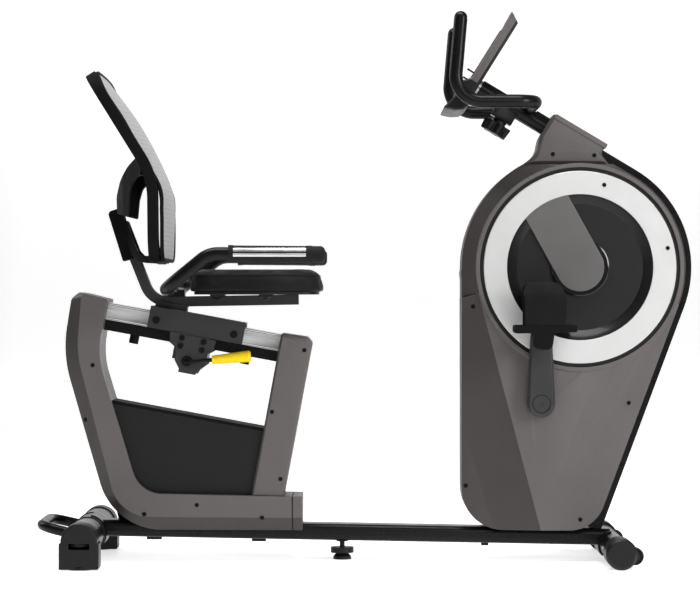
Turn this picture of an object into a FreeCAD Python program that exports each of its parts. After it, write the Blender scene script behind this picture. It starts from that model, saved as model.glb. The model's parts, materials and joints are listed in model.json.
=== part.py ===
import FreeCAD, Part
import math
import os

V = FreeCAD.Vector
os.makedirs("parts", exist_ok=True)

# Recumbent exercise bike, millimetres. +X is the way the rider faces, +Z is up,
# Y = 0 is the middle plane and the floor is Z = 0. The rider's right side is -Y.

# ---- ground frame ----
HALF_WIDTH = 300.0                  # half the length of each stabilizer, caps included
BEAM_HALF_W, BEAM_HALF_H = 40.0, 20.0
BEAM_Z0, BEAM_SLOPE = 66.8, -0.0181  # centre height at X = 0 and its fall towards the front
BEAM_WALL = 2.5
REAR_X, REAR_Z, REAR_R = -671.6, 67.0, 40.0   # rear stabilizer axis and radius
FRONT_X, FRONT_Z = 597.0, 37.0      # front stabilizer axis
STAB_R, STAB_WALL = 30.0, 2.5
FOOT_R, FOOT_HALF, FRONT_CAP_R = 43.0, 46.7, 37.0
WHEEL_X, WHEEL_Z, WHEEL_R = 631.0, 30.0, 21.0
WHEEL_Y = 250.0
LEVEL_Y = 272.0                     # levelling screw in each rear foot
LEVEL_WHEEL_R = 22.0
CENTRE_LEVEL_X = -57.0
HANDLE_X, HANDLE_Y, HANDLE_R = -779.0, 128.0, 12.5

# ---- front frame and drive ----
RING_X, RING_Z = 516.0, 711.0       # flywheel axis and centre of the round cover
SPINE_R, SPINE_DEPTH, SPINE_HALF_W = 275.6, 42.0, 30.0
SPINE_TOP, SPINE_FOOT = 31.0, 20.5  # slope of the upper run, lean of the lower run (degrees)
CRANK_X, CRANK_Z, CRANK_LEN = 421.0, 383.0, 160.0
PULLEY_R, FLY_PULLEY_R, BELT_T = 130.0, 22.0, 2.0
FLYWHEEL_R = 150.0
BELT_Y = (-28.0, -16.0)
PLATE_Y = (30.0, 36.0)              # inner and outer face of each drive plate
IDLER_R = 20.0

# ---- housing ----
SHELL_HALF, SHELL_EDGE, SHELL_WALL = 85.0, 60.0, 3.0
SHELL_LEFT, SHELL_BOTTOM, SHELL_TOP = 232.0, 76.0, 960.0
SHELL_ARC_R, RIM_R, RIM_IN = 284.0, 251.0, 241.0
SHELL_SET_BACK = 20.0               # how far the spine shows in front of the shells
FACET_LEAN = 14.6
RING_R, RING_IN, BEVEL_IN = 232.0, 176.0, 152.0
BAR_HALF, HUB_R, BAR_ANGLE = 58.0, 70.0, 61.0

# ---- seat rail ----
RAIL_X, RAIL_Z, RAIL_TILT = -405.0, 585.2, 10.5   # point on the rail top below the carriage
RAIL_H, RAIL_HALF_W, FLANGE = 41.0, 35.0, 5.0
SUPPORT_H = 26.0
RAIL_REAR, RAIL_FRONT = -292.0, 262.0
POST_D, POST_HALF = 243.0, 25.0
COVER_HALF_W, COVER_D0, COVER_D1 = 80.0, 204.0, 282.0
SHROUD_HALF, SHROUD_EDGE = 88.0, 62.0

# ---- seat ----
SEAT_X0, SEAT_X1, SEAT_HALF_W = -423.0, -102.0, 220.0
SEAT_Z0, SEAT_Z1 = 652.0, 703.0
CARRIAGE_D0, CARRIAGE_D1 = -119.0, 115.0
ROLLER_D = (-100.0, 91.0)
ROLLER_R = 15.0
LEVER_D, LEVER_H = -8.1, -104.4
ARM_Y, ARM_R, GRIP_R = 287.0, 16.0, 20.0
BACK_HALF_W, BACK_T = 237.0, 13.0   # half width of the backrest and half thickness of its rim

# ---- console ----
MAST_X, MAST_Z, MAST_TILT, MAST_R = 439.0, 1053.0, 31.0, 21.0
BAR_Y, BAR_R, BAR_Z = 213.0, 16.0, 1102.5
CONSOLE_HALF_W = 147.0


# ---------------------------------------------------------------- helpers
def block(x0, x1, y0, y1, z0, z1):
    return Part.makeBox(x1 - x0, y1 - y0, z1 - z0, V(x0, y0, z0))


def rod(x, z, r, y0, y1):
    """Cylinder along Y."""
    return Part.makeCylinder(r, y1 - y0, V(x, y0, z), V(0, 1, 0))


def ring(x, z, outer, inner, y0, y1):
    return rod(x, z, outer, y0, y1).cut(rod(x, z, inner, y0, y1))


def pin(base, axis, r, length):
    return Part.makeCylinder(r, length, V(*base), V(*axis))


def mirrored(shape):
    return shape.mirror(V(0, 0, 0), V(0, 1, 0))


def both(shape):
    """The right-hand piece together with its left-hand mirror image."""
    return Part.makeCompound([shape, mirrored(shape)])


def join(shapes):
    return shapes[0].multiFuse(shapes[1:]).removeSplitter() if len(shapes) > 1 else shapes[0]


def turn(angle):
    """Unit vector (x, z) at an angle in degrees above +X."""
    return math.cos(math.radians(angle)), math.sin(math.radians(angle))


def rounded(points, radii, place):
    """Closed wire through 2-D points, corners rounded; place() maps them into space."""
    count = len(points)
    if not isinstance(radii, (list, tuple)):
        radii = [radii] * count
    corners = []
    for i in range(count):
        p = place(*points[i])
        if radii[i] <= 0:
            corners.append((p, None, p))
            continue
        a = (place(*points[i - 1]) - p).normalize()
        b = (place(*points[(i + 1) % count]) - p).normalize()
        half = a.getAngle(b) / 2
        reach, mid = radii[i] / math.tan(half), (a + b).normalize()
        corners.append((p + a * reach, p + mid * (radii[i] / math.sin(half) - radii[i]), p + b * reach))
    edges = []
    for i in range(count):
        if corners[i][1] is not None:
            edges.append(Part.Arc(*corners[i]).toShape())
        start, end = corners[i][2], corners[(i + 1) % count][0]
        if (end - start).Length > 1e-6:
            edges.append(Part.makeLine(start, end))
    return Part.Wire(edges)


def at_y(y):
    return lambda x, z: V(x, y, z)


def at_z(z):
    return lambda x, y: V(x, y, z)


def slab(points, radii, y0, y1):
    """Profile drawn in X and Z, given thickness along Y."""
    return Part.Face(rounded(points, radii, at_y(y0))).extrude(V(0, y1 - y0, 0))


def normal(s, e):
    """Unit normal to the left of the line from s to e."""
    length = math.hypot(e[0] - s[0], e[1] - s[1])
    return -(e[1] - s[1]) / length, (e[0] - s[0]) / length


def shifted(p, n, m, d):
    """Point p moved so that it lies d to the left of both lines that meet there."""
    k = d / (1 + n[0] * m[0] + n[1] * m[1])
    return p[0] + (n[0] + m[0]) * k, p[1] + (n[1] + m[1]) * k


def inset(points, d):
    """The same polygon with every side moved inwards by d."""
    area = sum(p[0] * q[1] - q[0] * p[1] for p, q in zip(points, points[1:] + points[:1]))
    d = d if area > 0 else -d
    count = len(points)
    return [shifted(p, normal(points[i - 1], p), normal(p, points[(i + 1) % count]), d)
            for i, p in enumerate(points)]


def taper(points, radii, points2, radii2, y0, y1):
    return Part.makeLoft([rounded(points, radii, at_y(y0)), rounded(points2, radii2, at_y(y1))], True, True)


def pillow(points, radii, y_mid, y_end, d):
    """Slab from the middle plane to y_mid whose last part up to y_end narrows by d."""
    small = [max(r - d, 0.5) if r > 0 else 0 for r in radii]
    return slab(points, radii, 0, y_mid).fuse(taper(points, radii, inset(points, d), small, y_mid, y_end))


def bar(points, radii, half, y0, y1):
    """Flat bar that follows an open line in X and Z; radii are those of its middle line."""
    runs = [normal(s, e) for s, e in zip(points, points[1:])]
    runs = [runs[0]] + runs + [runs[-1]]
    sides, bends = [[], []], [[], []]
    for i, p in enumerate(points):
        n, m = runs[i], runs[i + 1]
        left = 1 if n[0] * m[1] - n[1] * m[0] > 0 else -1
        bend = radii[i - 1] if 0 < i < len(points) - 1 else 0
        for k, way in enumerate((1, -1)):
            sides[k].append(shifted(p, n, m, way * half))
            bends[k].append(bend - way * left * half if bend else 0)
    return slab(sides[0] + sides[1][::-1], bends[0] + bends[1][::-1], y0, y1)


def bent(points, radii):
    """Middle line of a bent tube."""
    pts = [V(*p) for p in points]
    if not isinstance(radii, (list, tuple)):
        radii = [radii] * (len(pts) - 2)
    edges, start = [], pts[0]
    for i in range(1, len(pts) - 1):
        a, b = (pts[i - 1] - pts[i]).normalize(), (pts[i + 1] - pts[i]).normalize()
        half = a.getAngle(b) / 2
        r, mid = radii[i - 1], (a + b).normalize()
        p, q = pts[i] + a * (r / math.tan(half)), pts[i] + b * (r / math.tan(half))
        if (p - start).Length > 1e-6:
            edges.append(Part.makeLine(start, p))
        edges.append(Part.Arc(p, pts[i] + mid * (r / math.sin(half) - r), q).toShape())
        start = q
    edges.append(Part.makeLine(start, pts[-1]))
    return Part.Wire(edges)


def pipe(points, radii, r):
    path = bent(points, radii)
    start = V(*points[0])
    circle = Part.Wire(Part.makeCircle(r, start, V(*points[1]) - start))
    return path.makePipeShell([circle], True, False)


def tube(points, radii, outer, wall):
    return pipe(points, radii, outer).cut(pipe(points, radii, outer - wall))


def link(x0, z0, x1, z1, half, y0, y1):
    """Flat bar with round ends between two points."""
    length = math.hypot(x1 - x0, z1 - z0)
    nx, nz = -(z1 - z0) / length * half, (x1 - x0) / length * half
    sides = [(x0 + nx, z0 + nz), (x1 + nx, z1 + nz), (x1 - nx, z1 - nz), (x0 - nx, z0 - nz)]
    return join([slab(sides, 0, y0, y1), rod(x0, z0, half, y0, y1), rod(x1, z1, half, y0, y1)])


def rail(d, h):
    """Point (x, z) at distance d forwards along the rail and h above its top face."""
    c, s = turn(RAIL_TILT)
    return RAIL_X + d * c + h * s, RAIL_Z - d * s + h * c


def rail_block(d0, d1, h0, h1, y0, y1):
    return slab([rail(d0, h0), rail(d1, h0), rail(d1, h1), rail(d0, h1)], 0, y0, y1)


def mast(d, h):
    """Point (x, z) at distance d up the mast and h above its axis."""
    c, s = turn(MAST_TILT)
    return MAST_X - d * c + h * s, MAST_Z + d * s + h * c


def save(name, shape):
    shape.exportStep("parts/" + name + ".step")


# ---------------------------------------------------------------- ground frame
def beam_z(x):
    """Height of the base beam's middle line."""
    return BEAM_Z0 + BEAM_SLOPE * x


def beam_bar(x0, x1, grow):
    """The oval beam between two stations, every wall moved outwards by grow."""
    w, h, r = BEAM_HALF_W + grow, BEAM_HALF_H + grow, 14.0 + grow
    outline = [(-w, -h), (w, -h), (w, h), (-w, h)]
    wire = rounded(outline, r, lambda y, z: V(x0, y, z + beam_z(x0)))
    return Part.Face(wire).extrude(V(x1 - x0, 0, beam_z(x1) - beam_z(x0)))


REAR_TUBE = rod(REAR_X, REAR_Z, REAR_R, -HALF_WIDTH, HALF_WIDTH)
FRONT_TUBE = rod(FRONT_X, FRONT_Z, STAB_R, -HALF_WIDTH, HALF_WIDTH)
BEAM_ENVELOPE = beam_bar(REAR_X + 12, FRONT_X - 4, 0)

saddles = []
for x, z, r, x0, x1 in ((REAR_X, REAR_Z, REAR_R, REAR_X + 6, REAR_X + 60),
                        (FRONT_X, FRONT_Z, STAB_R, FRONT_X - 60, FRONT_X - 2)):
    saddles.append(ring(x, z, r + 5, r, -55, 55).common(block(x0, x1, -60, 60, z - 24, 130)))
tabs = [block(x, x + w, -14, 14, beam_z(x + w) - BEAM_HALF_H - 7, beam_z(x) - BEAM_HALF_H + 1)
        for x, w in ((-533, 36), (-277, 34), (282, 17))]
nut = pin((CENTRE_LEVEL_X, 0, beam_z(CENTRE_LEVEL_X) - BEAM_HALF_H - 4), (0, 0, 1), 14, 8)
beam = join([BEAM_ENVELOPE] + saddles + tabs + [nut])
beam = beam.cut(beam_bar(REAR_X + 12, FRONT_X - 4, -BEAM_WALL)).cut(REAR_TUBE).cut(FRONT_TUBE)
CENTRE_SCREW_R = 6.0
beam = beam.cut(pin((CENTRE_LEVEL_X, 0, 30), (0, 0, 1), CENTRE_SCREW_R + 0.05, 25))
save("base_beam", beam)

TUBE_END = HALF_WIDTH - 55
# The lifting handle is welded to the back of the rear stabilizer.
HANDLE_Z = 91.0
handle = pipe([(REAR_X, -HANDLE_Y, REAR_Z - 2), (HANDLE_X, -HANDLE_Y, HANDLE_Z),
               (HANDLE_X, HANDLE_Y, HANDLE_Z),
               (REAR_X, HANDLE_Y, REAR_Z - 2)], 45, HANDLE_R)
COLLAR_Y, COLLAR_W, COLLAR_T = 72.0, 7.0, 2.5
stab = ring(REAR_X, REAR_Z, REAR_R, REAR_R - STAB_WALL, -TUBE_END, TUBE_END)
collar = ring(REAR_X, REAR_Z, REAR_R + COLLAR_T, REAR_R - 1, -COLLAR_Y - COLLAR_W, -COLLAR_Y)
save("rear_stabilizer", join([stab, collar, mirrored(collar), handle.cut(REAR_TUBE)]))
save("front_stabilizer", ring(FRONT_X, FRONT_Z, STAB_R, STAB_R - STAB_WALL, 20 - TUBE_END, TUBE_END - 20))

# Rear foot: round cap running down into a square foot, with a slot for the levelling wheel.
FOOT_LEN, FOOT_BEVEL = 62.0, 3.0
foot = rod(REAR_X, REAR_Z, FOOT_R, -HALF_WIDTH + FOOT_BEVEL, -HALF_WIDTH + FOOT_LEN)
foot = foot.fuse(Part.makeCone(FOOT_R - FOOT_BEVEL, FOOT_R, FOOT_BEVEL, V(REAR_X, -HALF_WIDTH, REAR_Z),
                               V(0, 1, 0)))
foot = foot.fuse(slab([(REAR_X - FOOT_HALF, 2), (REAR_X + FOOT_HALF, 2), (REAR_X + FOOT_HALF, 64),
                       (REAR_X - FOOT_HALF, 64)], [2, 5, 3, 3], -HALF_WIDTH, -HALF_WIDTH + FOOT_LEN))
foot = foot.removeSplitter()
SLOT_Z0, SLOT_Z1, PAD_R, SCREW_R = 49.0, 63.0, 27.0, 5.0
foot = foot.cut(rod(REAR_X, REAR_Z, REAR_R, -TUBE_END, 0))
foot = foot.cut(block(REAR_X - 24.5, REAR_X + 24.5, -HALF_WIDTH - 1, -LEVEL_Y + 24.5, SLOT_Z0, SLOT_Z1))
foot = foot.cut(pin((REAR_X, -LEVEL_Y, -1), (0, 0, 1), SCREW_R + 0.05, 92))
foot = foot.cut(pin((REAR_X, -LEVEL_Y, -1), (0, 0, 1), PAD_R + 1.5, 9))
save("rear_feet", both(foot))

# Leveller: foot pad, screw and ribbed wheel in one piece.
RIBS, LEVEL_WHEEL_T = 24, 8.0
level_z = SLOT_Z1 - 0.5 - LEVEL_WHEEL_T
wheel = pin((REAR_X, -LEVEL_Y, level_z), (0, 0, 1), LEVEL_WHEEL_R, LEVEL_WHEEL_T)
grooves = []
for i in range(RIBS):
    c, s = turn(360.0 / RIBS * i)
    grooves.append(pin((REAR_X + c * LEVEL_WHEEL_R, -LEVEL_Y + s * LEVEL_WHEEL_R, level_z - 1), (0, 0, 1),
                       1.6, LEVEL_WHEEL_T + 2))
leveller = join([wheel.cut(Part.makeCompound(grooves)), pin((REAR_X, -LEVEL_Y, 3), (0, 0, 1), SCREW_R, 85),
                 pin((REAR_X, -LEVEL_Y, 0), (0, 0, 1), PAD_R, 6)])
save("leveller_right", leveller)
save("leveller_left", mirrored(leveller))

# Centre leveller: screw up into the beam, ribbed disc on the floor.
top = beam_z(CENTRE_LEVEL_X) + 6
save("centre_leveller", join([pin((CENTRE_LEVEL_X, 0, 0), (0, 0, 1), 22, 7),
                              Part.makeCone(22, 14, 9, V(CENTRE_LEVEL_X, 0, 7)),
                              pin((CENTRE_LEVEL_X, 0, 16), (0, 0, 1), 28, 14),
                              pin((CENTRE_LEVEL_X, 0, 10), (0, 0, 1), CENTRE_SCREW_R, top - 10)]))

# Front end cap: rounded plug over the tube end, with a pocket and lugs for the transport wheel.
CAP_LENGTH, CAP_CHAMFER = 84.0, 6.0
y0 = -HALF_WIDTH
cap = rod(FRONT_X, FRONT_Z, FRONT_CAP_R, y0 + CAP_CHAMFER, y0 + CAP_LENGTH)
cap = cap.fuse(Part.makeCone(FRONT_CAP_R - CAP_CHAMFER, FRONT_CAP_R, CAP_CHAMFER, V(FRONT_X, y0, FRONT_Z),
                             V(0, 1, 0)))
cap = join([cap, rod(WHEEL_X, WHEEL_Z, 10, -WHEEL_Y - 20, -WHEEL_Y + 20)])
cap = cap.cut(rod(FRONT_X, FRONT_Z, STAB_R, -TUBE_END + 20, 0))
cap = cap.cut(rod(WHEEL_X, WHEEL_Z, WHEEL_R + 2, -WHEEL_Y - 12, -WHEEL_Y + 12))
cap = cap.cut(rod(WHEEL_X, WHEEL_Z, 4.05, -WHEEL_Y - 18, -WHEEL_Y + 18))
save("front_end_caps", both(cap))
roller = rod(WHEEL_X, WHEEL_Z, WHEEL_R, -WHEEL_Y - 11, -WHEEL_Y + 11)
roller = roller.cut(ring(WHEEL_X, WHEEL_Z, WHEEL_R - 4, 9, -WHEEL_Y - 12, -WHEEL_Y - 7))
roller = roller.fuse(rod(WHEEL_X, WHEEL_Z, 4, -WHEEL_Y - 17.5, -WHEEL_Y + 17.5))
save("transport_wheel_right", roller)
save("transport_wheel_left", mirrored(roller))


# ---------------------------------------------------------------- front frame
def spine(d0, d1, y0, y1):
    """Front frame profile between two depths below its outer line."""
    up, down = turn(180 - SPINE_TOP), turn(270 - SPINE_FOOT)
    ends = []
    for d in (d0, d1):
        r = SPINE_R - d
        top_n, foot_n = turn(90 - SPINE_TOP), turn(-SPINE_FOOT)
        mid_n = turn(45 - (SPINE_TOP + SPINE_FOOT) / 2)
        t, m, b = [V(RING_X + n[0] * r, y0, RING_Z + n[1] * r) for n in (top_n, mid_n, foot_n)]
        ends.append((t + V(up[0], 0, up[1]) * SPINE_RUN_UP, t, m, b,
                     b + V(down[0], 0, down[1]) * SPINE_RUN_DOWN))
    o, i = ends
    edges = [Part.makeLine(o[0], o[1]), Part.Arc(o[1], o[2], o[3]).toShape(), Part.makeLine(o[3], o[4]),
             Part.makeLine(o[4], i[4]), Part.makeLine(i[4], i[3]), Part.Arc(i[3], i[2], i[1]).toShape(),
             Part.makeLine(i[1], i[0]), Part.makeLine(i[0], o[0])]
    return Part.Face(Part.Wire(edges)).extrude(V(0, y1 - y0, 0))


SPINE_RUN_UP, SPINE_RUN_DOWN = 200.0, 581.0
SPINE_ENVELOPE = spine(0, SPINE_DEPTH, -SPINE_HALF_W, SPINE_HALF_W)
SPINE_WALL = 3.0
shell = SPINE_ENVELOPE.cut(spine(SPINE_WALL, SPINE_DEPTH - SPINE_WALL, SPINE_WALL - SPINE_HALF_W,
                                 SPINE_HALF_W - SPINE_WALL))
c, s = turn(150)
PIVOT_R = 186.0
PIVOT_X, PIVOT_Z = RING_X + c * PIVOT_R, RING_Z + s * PIVOT_R
BEARING_R, AXLE_R, DOWN_TUBE_Y = 24.0, 10.0, (-8.0, 30.0)
DOWN_TUBE_X, CROSS_LINK_END = 418.0, 638.0
frame = [shell]
for lo, hi in (PLATE_Y, (-PLATE_Y[1], -PLATE_Y[0])):
    frame += [link(CRANK_X, CRANK_Z, RING_X, RING_Z, 24, lo, hi),
              link(RING_X, RING_Z, RING_X + SPINE_R - SPINE_DEPTH - 7, RING_Z, 20, lo, hi),
              link(CRANK_X, CRANK_Z, CROSS_LINK_END, CRANK_Z, 20, lo, hi),
              link(RING_X, RING_Z, PIVOT_X, PIVOT_Z, 16, lo, hi)]
frame.append(rod(CRANK_X, CRANK_Z, BEARING_R + 6, -PLATE_Y[1] - 14, -PLATE_Y[0]))
frame.append(rod(CRANK_X, CRANK_Z, BEARING_R + 6, PLATE_Y[0], PLATE_Y[1] + 14))
down = block(DOWN_TUBE_X - 22, DOWN_TUBE_X + 22, DOWN_TUBE_Y[0], DOWN_TUBE_Y[1], 60, CRANK_Z - 34)
down_inside = block(DOWN_TUBE_X - 19, DOWN_TUBE_X + 19, DOWN_TUBE_Y[0] + 3, DOWN_TUBE_Y[1] - 3, 60,
                    CRANK_Z - 37)
frame.append(down.cut(down_inside))
frame.append(block(DOWN_TUBE_X - 22, DOWN_TUBE_X + 22, PLATE_Y[0], PLATE_Y[1], CRANK_Z - 120, CRANK_Z))
frame.append(rod(RING_X, RING_Z, 8, -PLATE_Y[1] - 6, PLATE_Y[1] + 6))
frame = join(frame).cut(BEAM_ENVELOPE)
for end in (-1, 1):
    seat = rod(CRANK_X, CRANK_Z, BEARING_R, min(end * 33, end * 51), max(end * 33, end * 51))
    frame = frame.cut(seat)
frame = frame.cut(rod(CRANK_X, CRANK_Z, AXLE_R + 4, -60, 60))
frame = frame.cut(rod(PIVOT_X, PIVOT_Z, 5.05, -40, 40))


# Belt runs: unit vector from crank to flywheel and the outward normals of the two straight runs.
reach = math.hypot(RING_X - CRANK_X, RING_Z - CRANK_Z)
way = ((RING_X - CRANK_X) / reach, (RING_Z - CRANK_Z) / reach)
sin_b = (PULLEY_R - FLY_PULLEY_R) / reach
cos_b = math.sqrt(1 - sin_b ** 2)
left_n = (cos_b * -way[1] + sin_b * way[0], cos_b * way[0] + sin_b * way[1])
right_n = (cos_b * way[1] + sin_b * way[0], cos_b * -way[0] + sin_b * way[1])


def belt_loop(grow):
    """Outline round both pulleys, grown outwards."""
    corners = [(x + n[0] * (r + grow), z + n[1] * (r + grow))
               for x, z, r, n in ((CRANK_X, CRANK_Z, PULLEY_R, left_n),
                                  (RING_X, RING_Z, FLY_PULLEY_R, left_n),
                                  (RING_X, RING_Z, FLY_PULLEY_R, right_n),
                                  (CRANK_X, CRANK_Z, PULLEY_R, right_n))]
    return join([slab(corners, 0, *BELT_Y), rod(CRANK_X, CRANK_Z, PULLEY_R + grow, *BELT_Y),
                 rod(RING_X, RING_Z, FLY_PULLEY_R + grow, *BELT_Y)])


BELT_GAP = 0.3
save("drive_belt", belt_loop(BELT_GAP + BELT_T).cut(belt_loop(BELT_GAP)))
idler_off = PULLEY_R + 2 * BELT_GAP + BELT_T + IDLER_R
IDLER_X = CRANK_X + right_n[0] * idler_off + way[0] * cos_b * 170
IDLER_Z = CRANK_Z + right_n[1] * idler_off + way[1] * cos_b * 170
IDLER_PIN_R = 6.0
arm_x = CRANK_X + way[0] / way[1] * (IDLER_Z - CRANK_Z)
frame = join([frame, link(arm_x, IDLER_Z, IDLER_X, IDLER_Z, 14, *PLATE_Y),
              rod(IDLER_X, IDLER_Z, IDLER_PIN_R, -30, PLATE_Y[0] + 1)])
save("front_frame", frame)
idler = rod(IDLER_X, IDLER_Z, IDLER_R, *BELT_Y).fuse(rod(IDLER_X, IDLER_Z, 10, BELT_Y[1], 29))
save("idler", idler.cut(rod(IDLER_X, IDLER_Z, IDLER_PIN_R + 0.05, -40, 40)))

# Flywheel: heavy rim on a thin web, hub and small pulley, turning on the fixed axle.
FLY_Y = (-10.0, 20.0)
fly = join([ring(RING_X, RING_Z, FLYWHEEL_R, FLYWHEEL_R - 26, *FLY_Y),
            rod(RING_X, RING_Z, FLYWHEEL_R - 20, 1, 9),
            rod(RING_X, RING_Z, 26, BELT_Y[1], 29), rod(RING_X, RING_Z, FLY_PULLEY_R, *BELT_Y)])
save("flywheel", fly.cut(rod(RING_X, RING_Z, 8.05, -40, 40)))

# Magnet arm: yoke round the rim, swinging outwards on a pin between the drive plates.
arc = ring(RING_X, RING_Z, FLYWHEEL_R + 16, FLYWHEEL_R + 6, FLY_Y[0] - 10, FLY_Y[1] + 8)
for lo, hi in ((FLY_Y[0] - 10, FLY_Y[0] - 4), (FLY_Y[1] + 4, FLY_Y[1] + 8)):
    arc = arc.fuse(ring(RING_X, RING_Z, FLYWHEEL_R + 16, FLYWHEEL_R - 22, lo, hi))
sector = slab([(RING_X, RING_Z)] + [(RING_X + turn(a)[0] * 320, RING_Z + turn(a)[1] * 320)
                                    for a in (95, 118, 141)],
              0, -30, 30)
ARM_Y0, ARM_Y1 = FLY_Y[0] - 10, FLY_Y[1] + 8
root = link(PIVOT_X, PIVOT_Z, RING_X + turn(138)[0] * (FLYWHEEL_R + 14),
            RING_Z + turn(138)[1] * (FLYWHEEL_R + 14),
            9, ARM_Y0, ARM_Y1)
root = root.cut(rod(RING_X, RING_Z, FLYWHEEL_R + 6, -30, 30))
magnet = join([arc.common(sector), root, rod(PIVOT_X, PIVOT_Z, 5, -PLATE_Y[1], PLATE_Y[1])])
save("magnet_arm", magnet)
MOTOR_X, MOTOR_HALF = 582.0, 18.0     # between the drive plates, above the lower cross links
motor = block(MOTOR_X, MOTOR_X + 46, -PLATE_Y[0], PLATE_Y[0], CRANK_Z - MOTOR_HALF, CRANK_Z + MOTOR_HALF)
save("resistance_motor", motor.cut(rod(MOTOR_X + 23, CRANK_Z, 12, -PLATE_Y[0], 4 - PLATE_Y[0])))

bearing = ring(CRANK_X, CRANK_Z, BEARING_R, AXLE_R + 0.05, -50, -33)
bearing = bearing.cut(ring(CRANK_X, CRANK_Z, BEARING_R - 4, AXLE_R + 4, -51, -48.5))
save("crank_bearings", both(bearing))

# ---------------------------------------------------------------- cranks and pedals
save("crank_axle", rod(CRANK_X, CRANK_Z, AXLE_R, -112, 112))
pulley = join([ring(CRANK_X, CRANK_Z, PULLEY_R, PULLEY_R - 10, *BELT_Y),
               rod(CRANK_X, CRANK_Z, PULLEY_R - 8, -24, -20), rod(CRANK_X, CRANK_Z, 26, *BELT_Y)])
for i in range(5):
    c, s = turn(72 * i + 18)
    pulley = pulley.cut(rod(CRANK_X + c * 76, CRANK_Z + s * 76, 26, -30, -10))
save("drive_pulley", pulley.cut(rod(CRANK_X, CRANK_Z, AXLE_R, -40, 0)))

ARM_IN, ARM_OUT, CAP_R = 101.0, 125.0, 22.0
ARM_ROOT_R, ARM_TIP_R, ARM_EDGE = 33.0, 26.0, 5.0
PEDAL_IN, PEDAL_OUT = 132.0, 237.0
SPINDLE_R = 7.0


def crank_arm(up):
    """Right-hand arm pointing up (+1) or down (-1): tapering bar, end cap and pedal pin."""
    tip = CRANK_Z + up * CRANK_LEN

    def outline(less):
        root_r, tip_r = ARM_ROOT_R - less, ARM_TIP_R - less
        return [(CRANK_X - root_r, CRANK_Z), (CRANK_X + root_r, CRANK_Z), (CRANK_X + tip_r, tip),
                (CRANK_X - tip_r, tip)]
    edge_y = -ARM_OUT + ARM_EDGE
    pieces = [slab(outline(0), 0, edge_y, -ARM_IN - 4),
              taper(outline(0), [0] * 4, outline(ARM_EDGE), [0] * 4, edge_y, -ARM_OUT)]
    for z, r, inner in ((CRANK_Z, ARM_ROOT_R, -ARM_IN), (tip, ARM_TIP_R, -ARM_IN - 4)):
        pieces += [rod(CRANK_X, z, r, -ARM_OUT + ARM_EDGE, inner),
                   Part.makeCone(r - ARM_EDGE, r, ARM_EDGE, V(CRANK_X, -ARM_OUT, z), V(0, 1, 0))]
    pieces.append(rod(CRANK_X, tip, SPINDLE_R, -PEDAL_OUT + 4, -ARM_OUT))
    arm = join(pieces).cut(rod(CRANK_X, CRANK_Z, AXLE_R, -112, 0))
    arm = arm.cut(rod(CRANK_X, CRANK_Z, CAP_R, -ARM_OUT - 1, -ARM_OUT + 2))
    return arm.fuse(ring(CRANK_X, CRANK_Z, CAP_R - 1, 5, -ARM_OUT, -ARM_OUT + 2.5)).removeSplitter()


def pedal(up):
    """Right-hand pedal: flat platform over a weighted barrel that keeps it level."""
    z = CRANK_Z + up * CRANK_LEN
    body = slab([(CRANK_X - 70, z + 10), (CRANK_X + 77, z + 13), (CRANK_X + 77, z + 30),
                 (CRANK_X - 70, z + 30)],
                [6, 4, 4, 5], -PEDAL_OUT, -PEDAL_IN)
    barrel = slab([(CRANK_X - 24, z + 14), (CRANK_X - 18, z - 28), (CRANK_X + 18, z - 28),
                   (CRANK_X + 24, z + 14)],
                  [0, 15, 15, 0], -PEDAL_OUT, -PEDAL_IN)
    body = join([body, barrel])
    treads = [block(CRANK_X - 58 + 17 * i, CRANK_X - 50 + 17 * i, -PEDAL_OUT + 8, -PEDAL_IN - 8, z + 27,
                    z + 31)
              for i in range(8)]
    return body.cut(Part.makeCompound(treads)).cut(rod(CRANK_X, z, SPINDLE_R + 0.05, -PEDAL_OUT + 3,
                                                       -PEDAL_IN + 1))


def strap(up):
    """Wide rubber band arching over the foot from one side of the platform to the other."""
    z = CRANK_Z + up * CRANK_LEN + 30
    mid = -(PEDAL_IN + PEDAL_OUT) / 2
    half = (PEDAL_OUT - PEDAL_IN) / 2
    rise, flat = 102.0, 34.0

    def outline(t):
        side = [(mid - half + t, z), (mid - half + t, z + rise - 30), (mid - flat, z + rise - t),
                (mid + flat, z + rise - t), (mid + half - t, z + rise - 30), (mid + half - t, z)]
        return Part.Face(rounded(side, [0, 28 - t, 26, 26, 28 - t, 0], lambda y, h: V(CRANK_X - 55, y, h)))
    band = outline(0).extrude(V(110, 0, 0)).cut(outline(4).extrude(V(110, 0, 0)))
    side = [(CRANK_X - 46, z), (CRANK_X - 46, z + 62), (CRANK_X - 50, z + 74), (CRANK_X - 44, z + rise),
            (CRANK_X + 38, z + rise), (CRANK_X + 54, z + 60), (CRANK_X + 48, z)]
    return band.common(slab(side, [0, 30, 10, 22, 30, 60, 0], -PEDAL_OUT - 1, -PEDAL_IN + 1))


for side, up in (("right", 1), ("left", -1)):
    for name, shape in (("crank_arm_", crank_arm(up)), ("pedal_", pedal(up)), ("pedal_strap_", strap(up))):
        save(name + side, shape if side == "right" else mirrored(shape))


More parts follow.
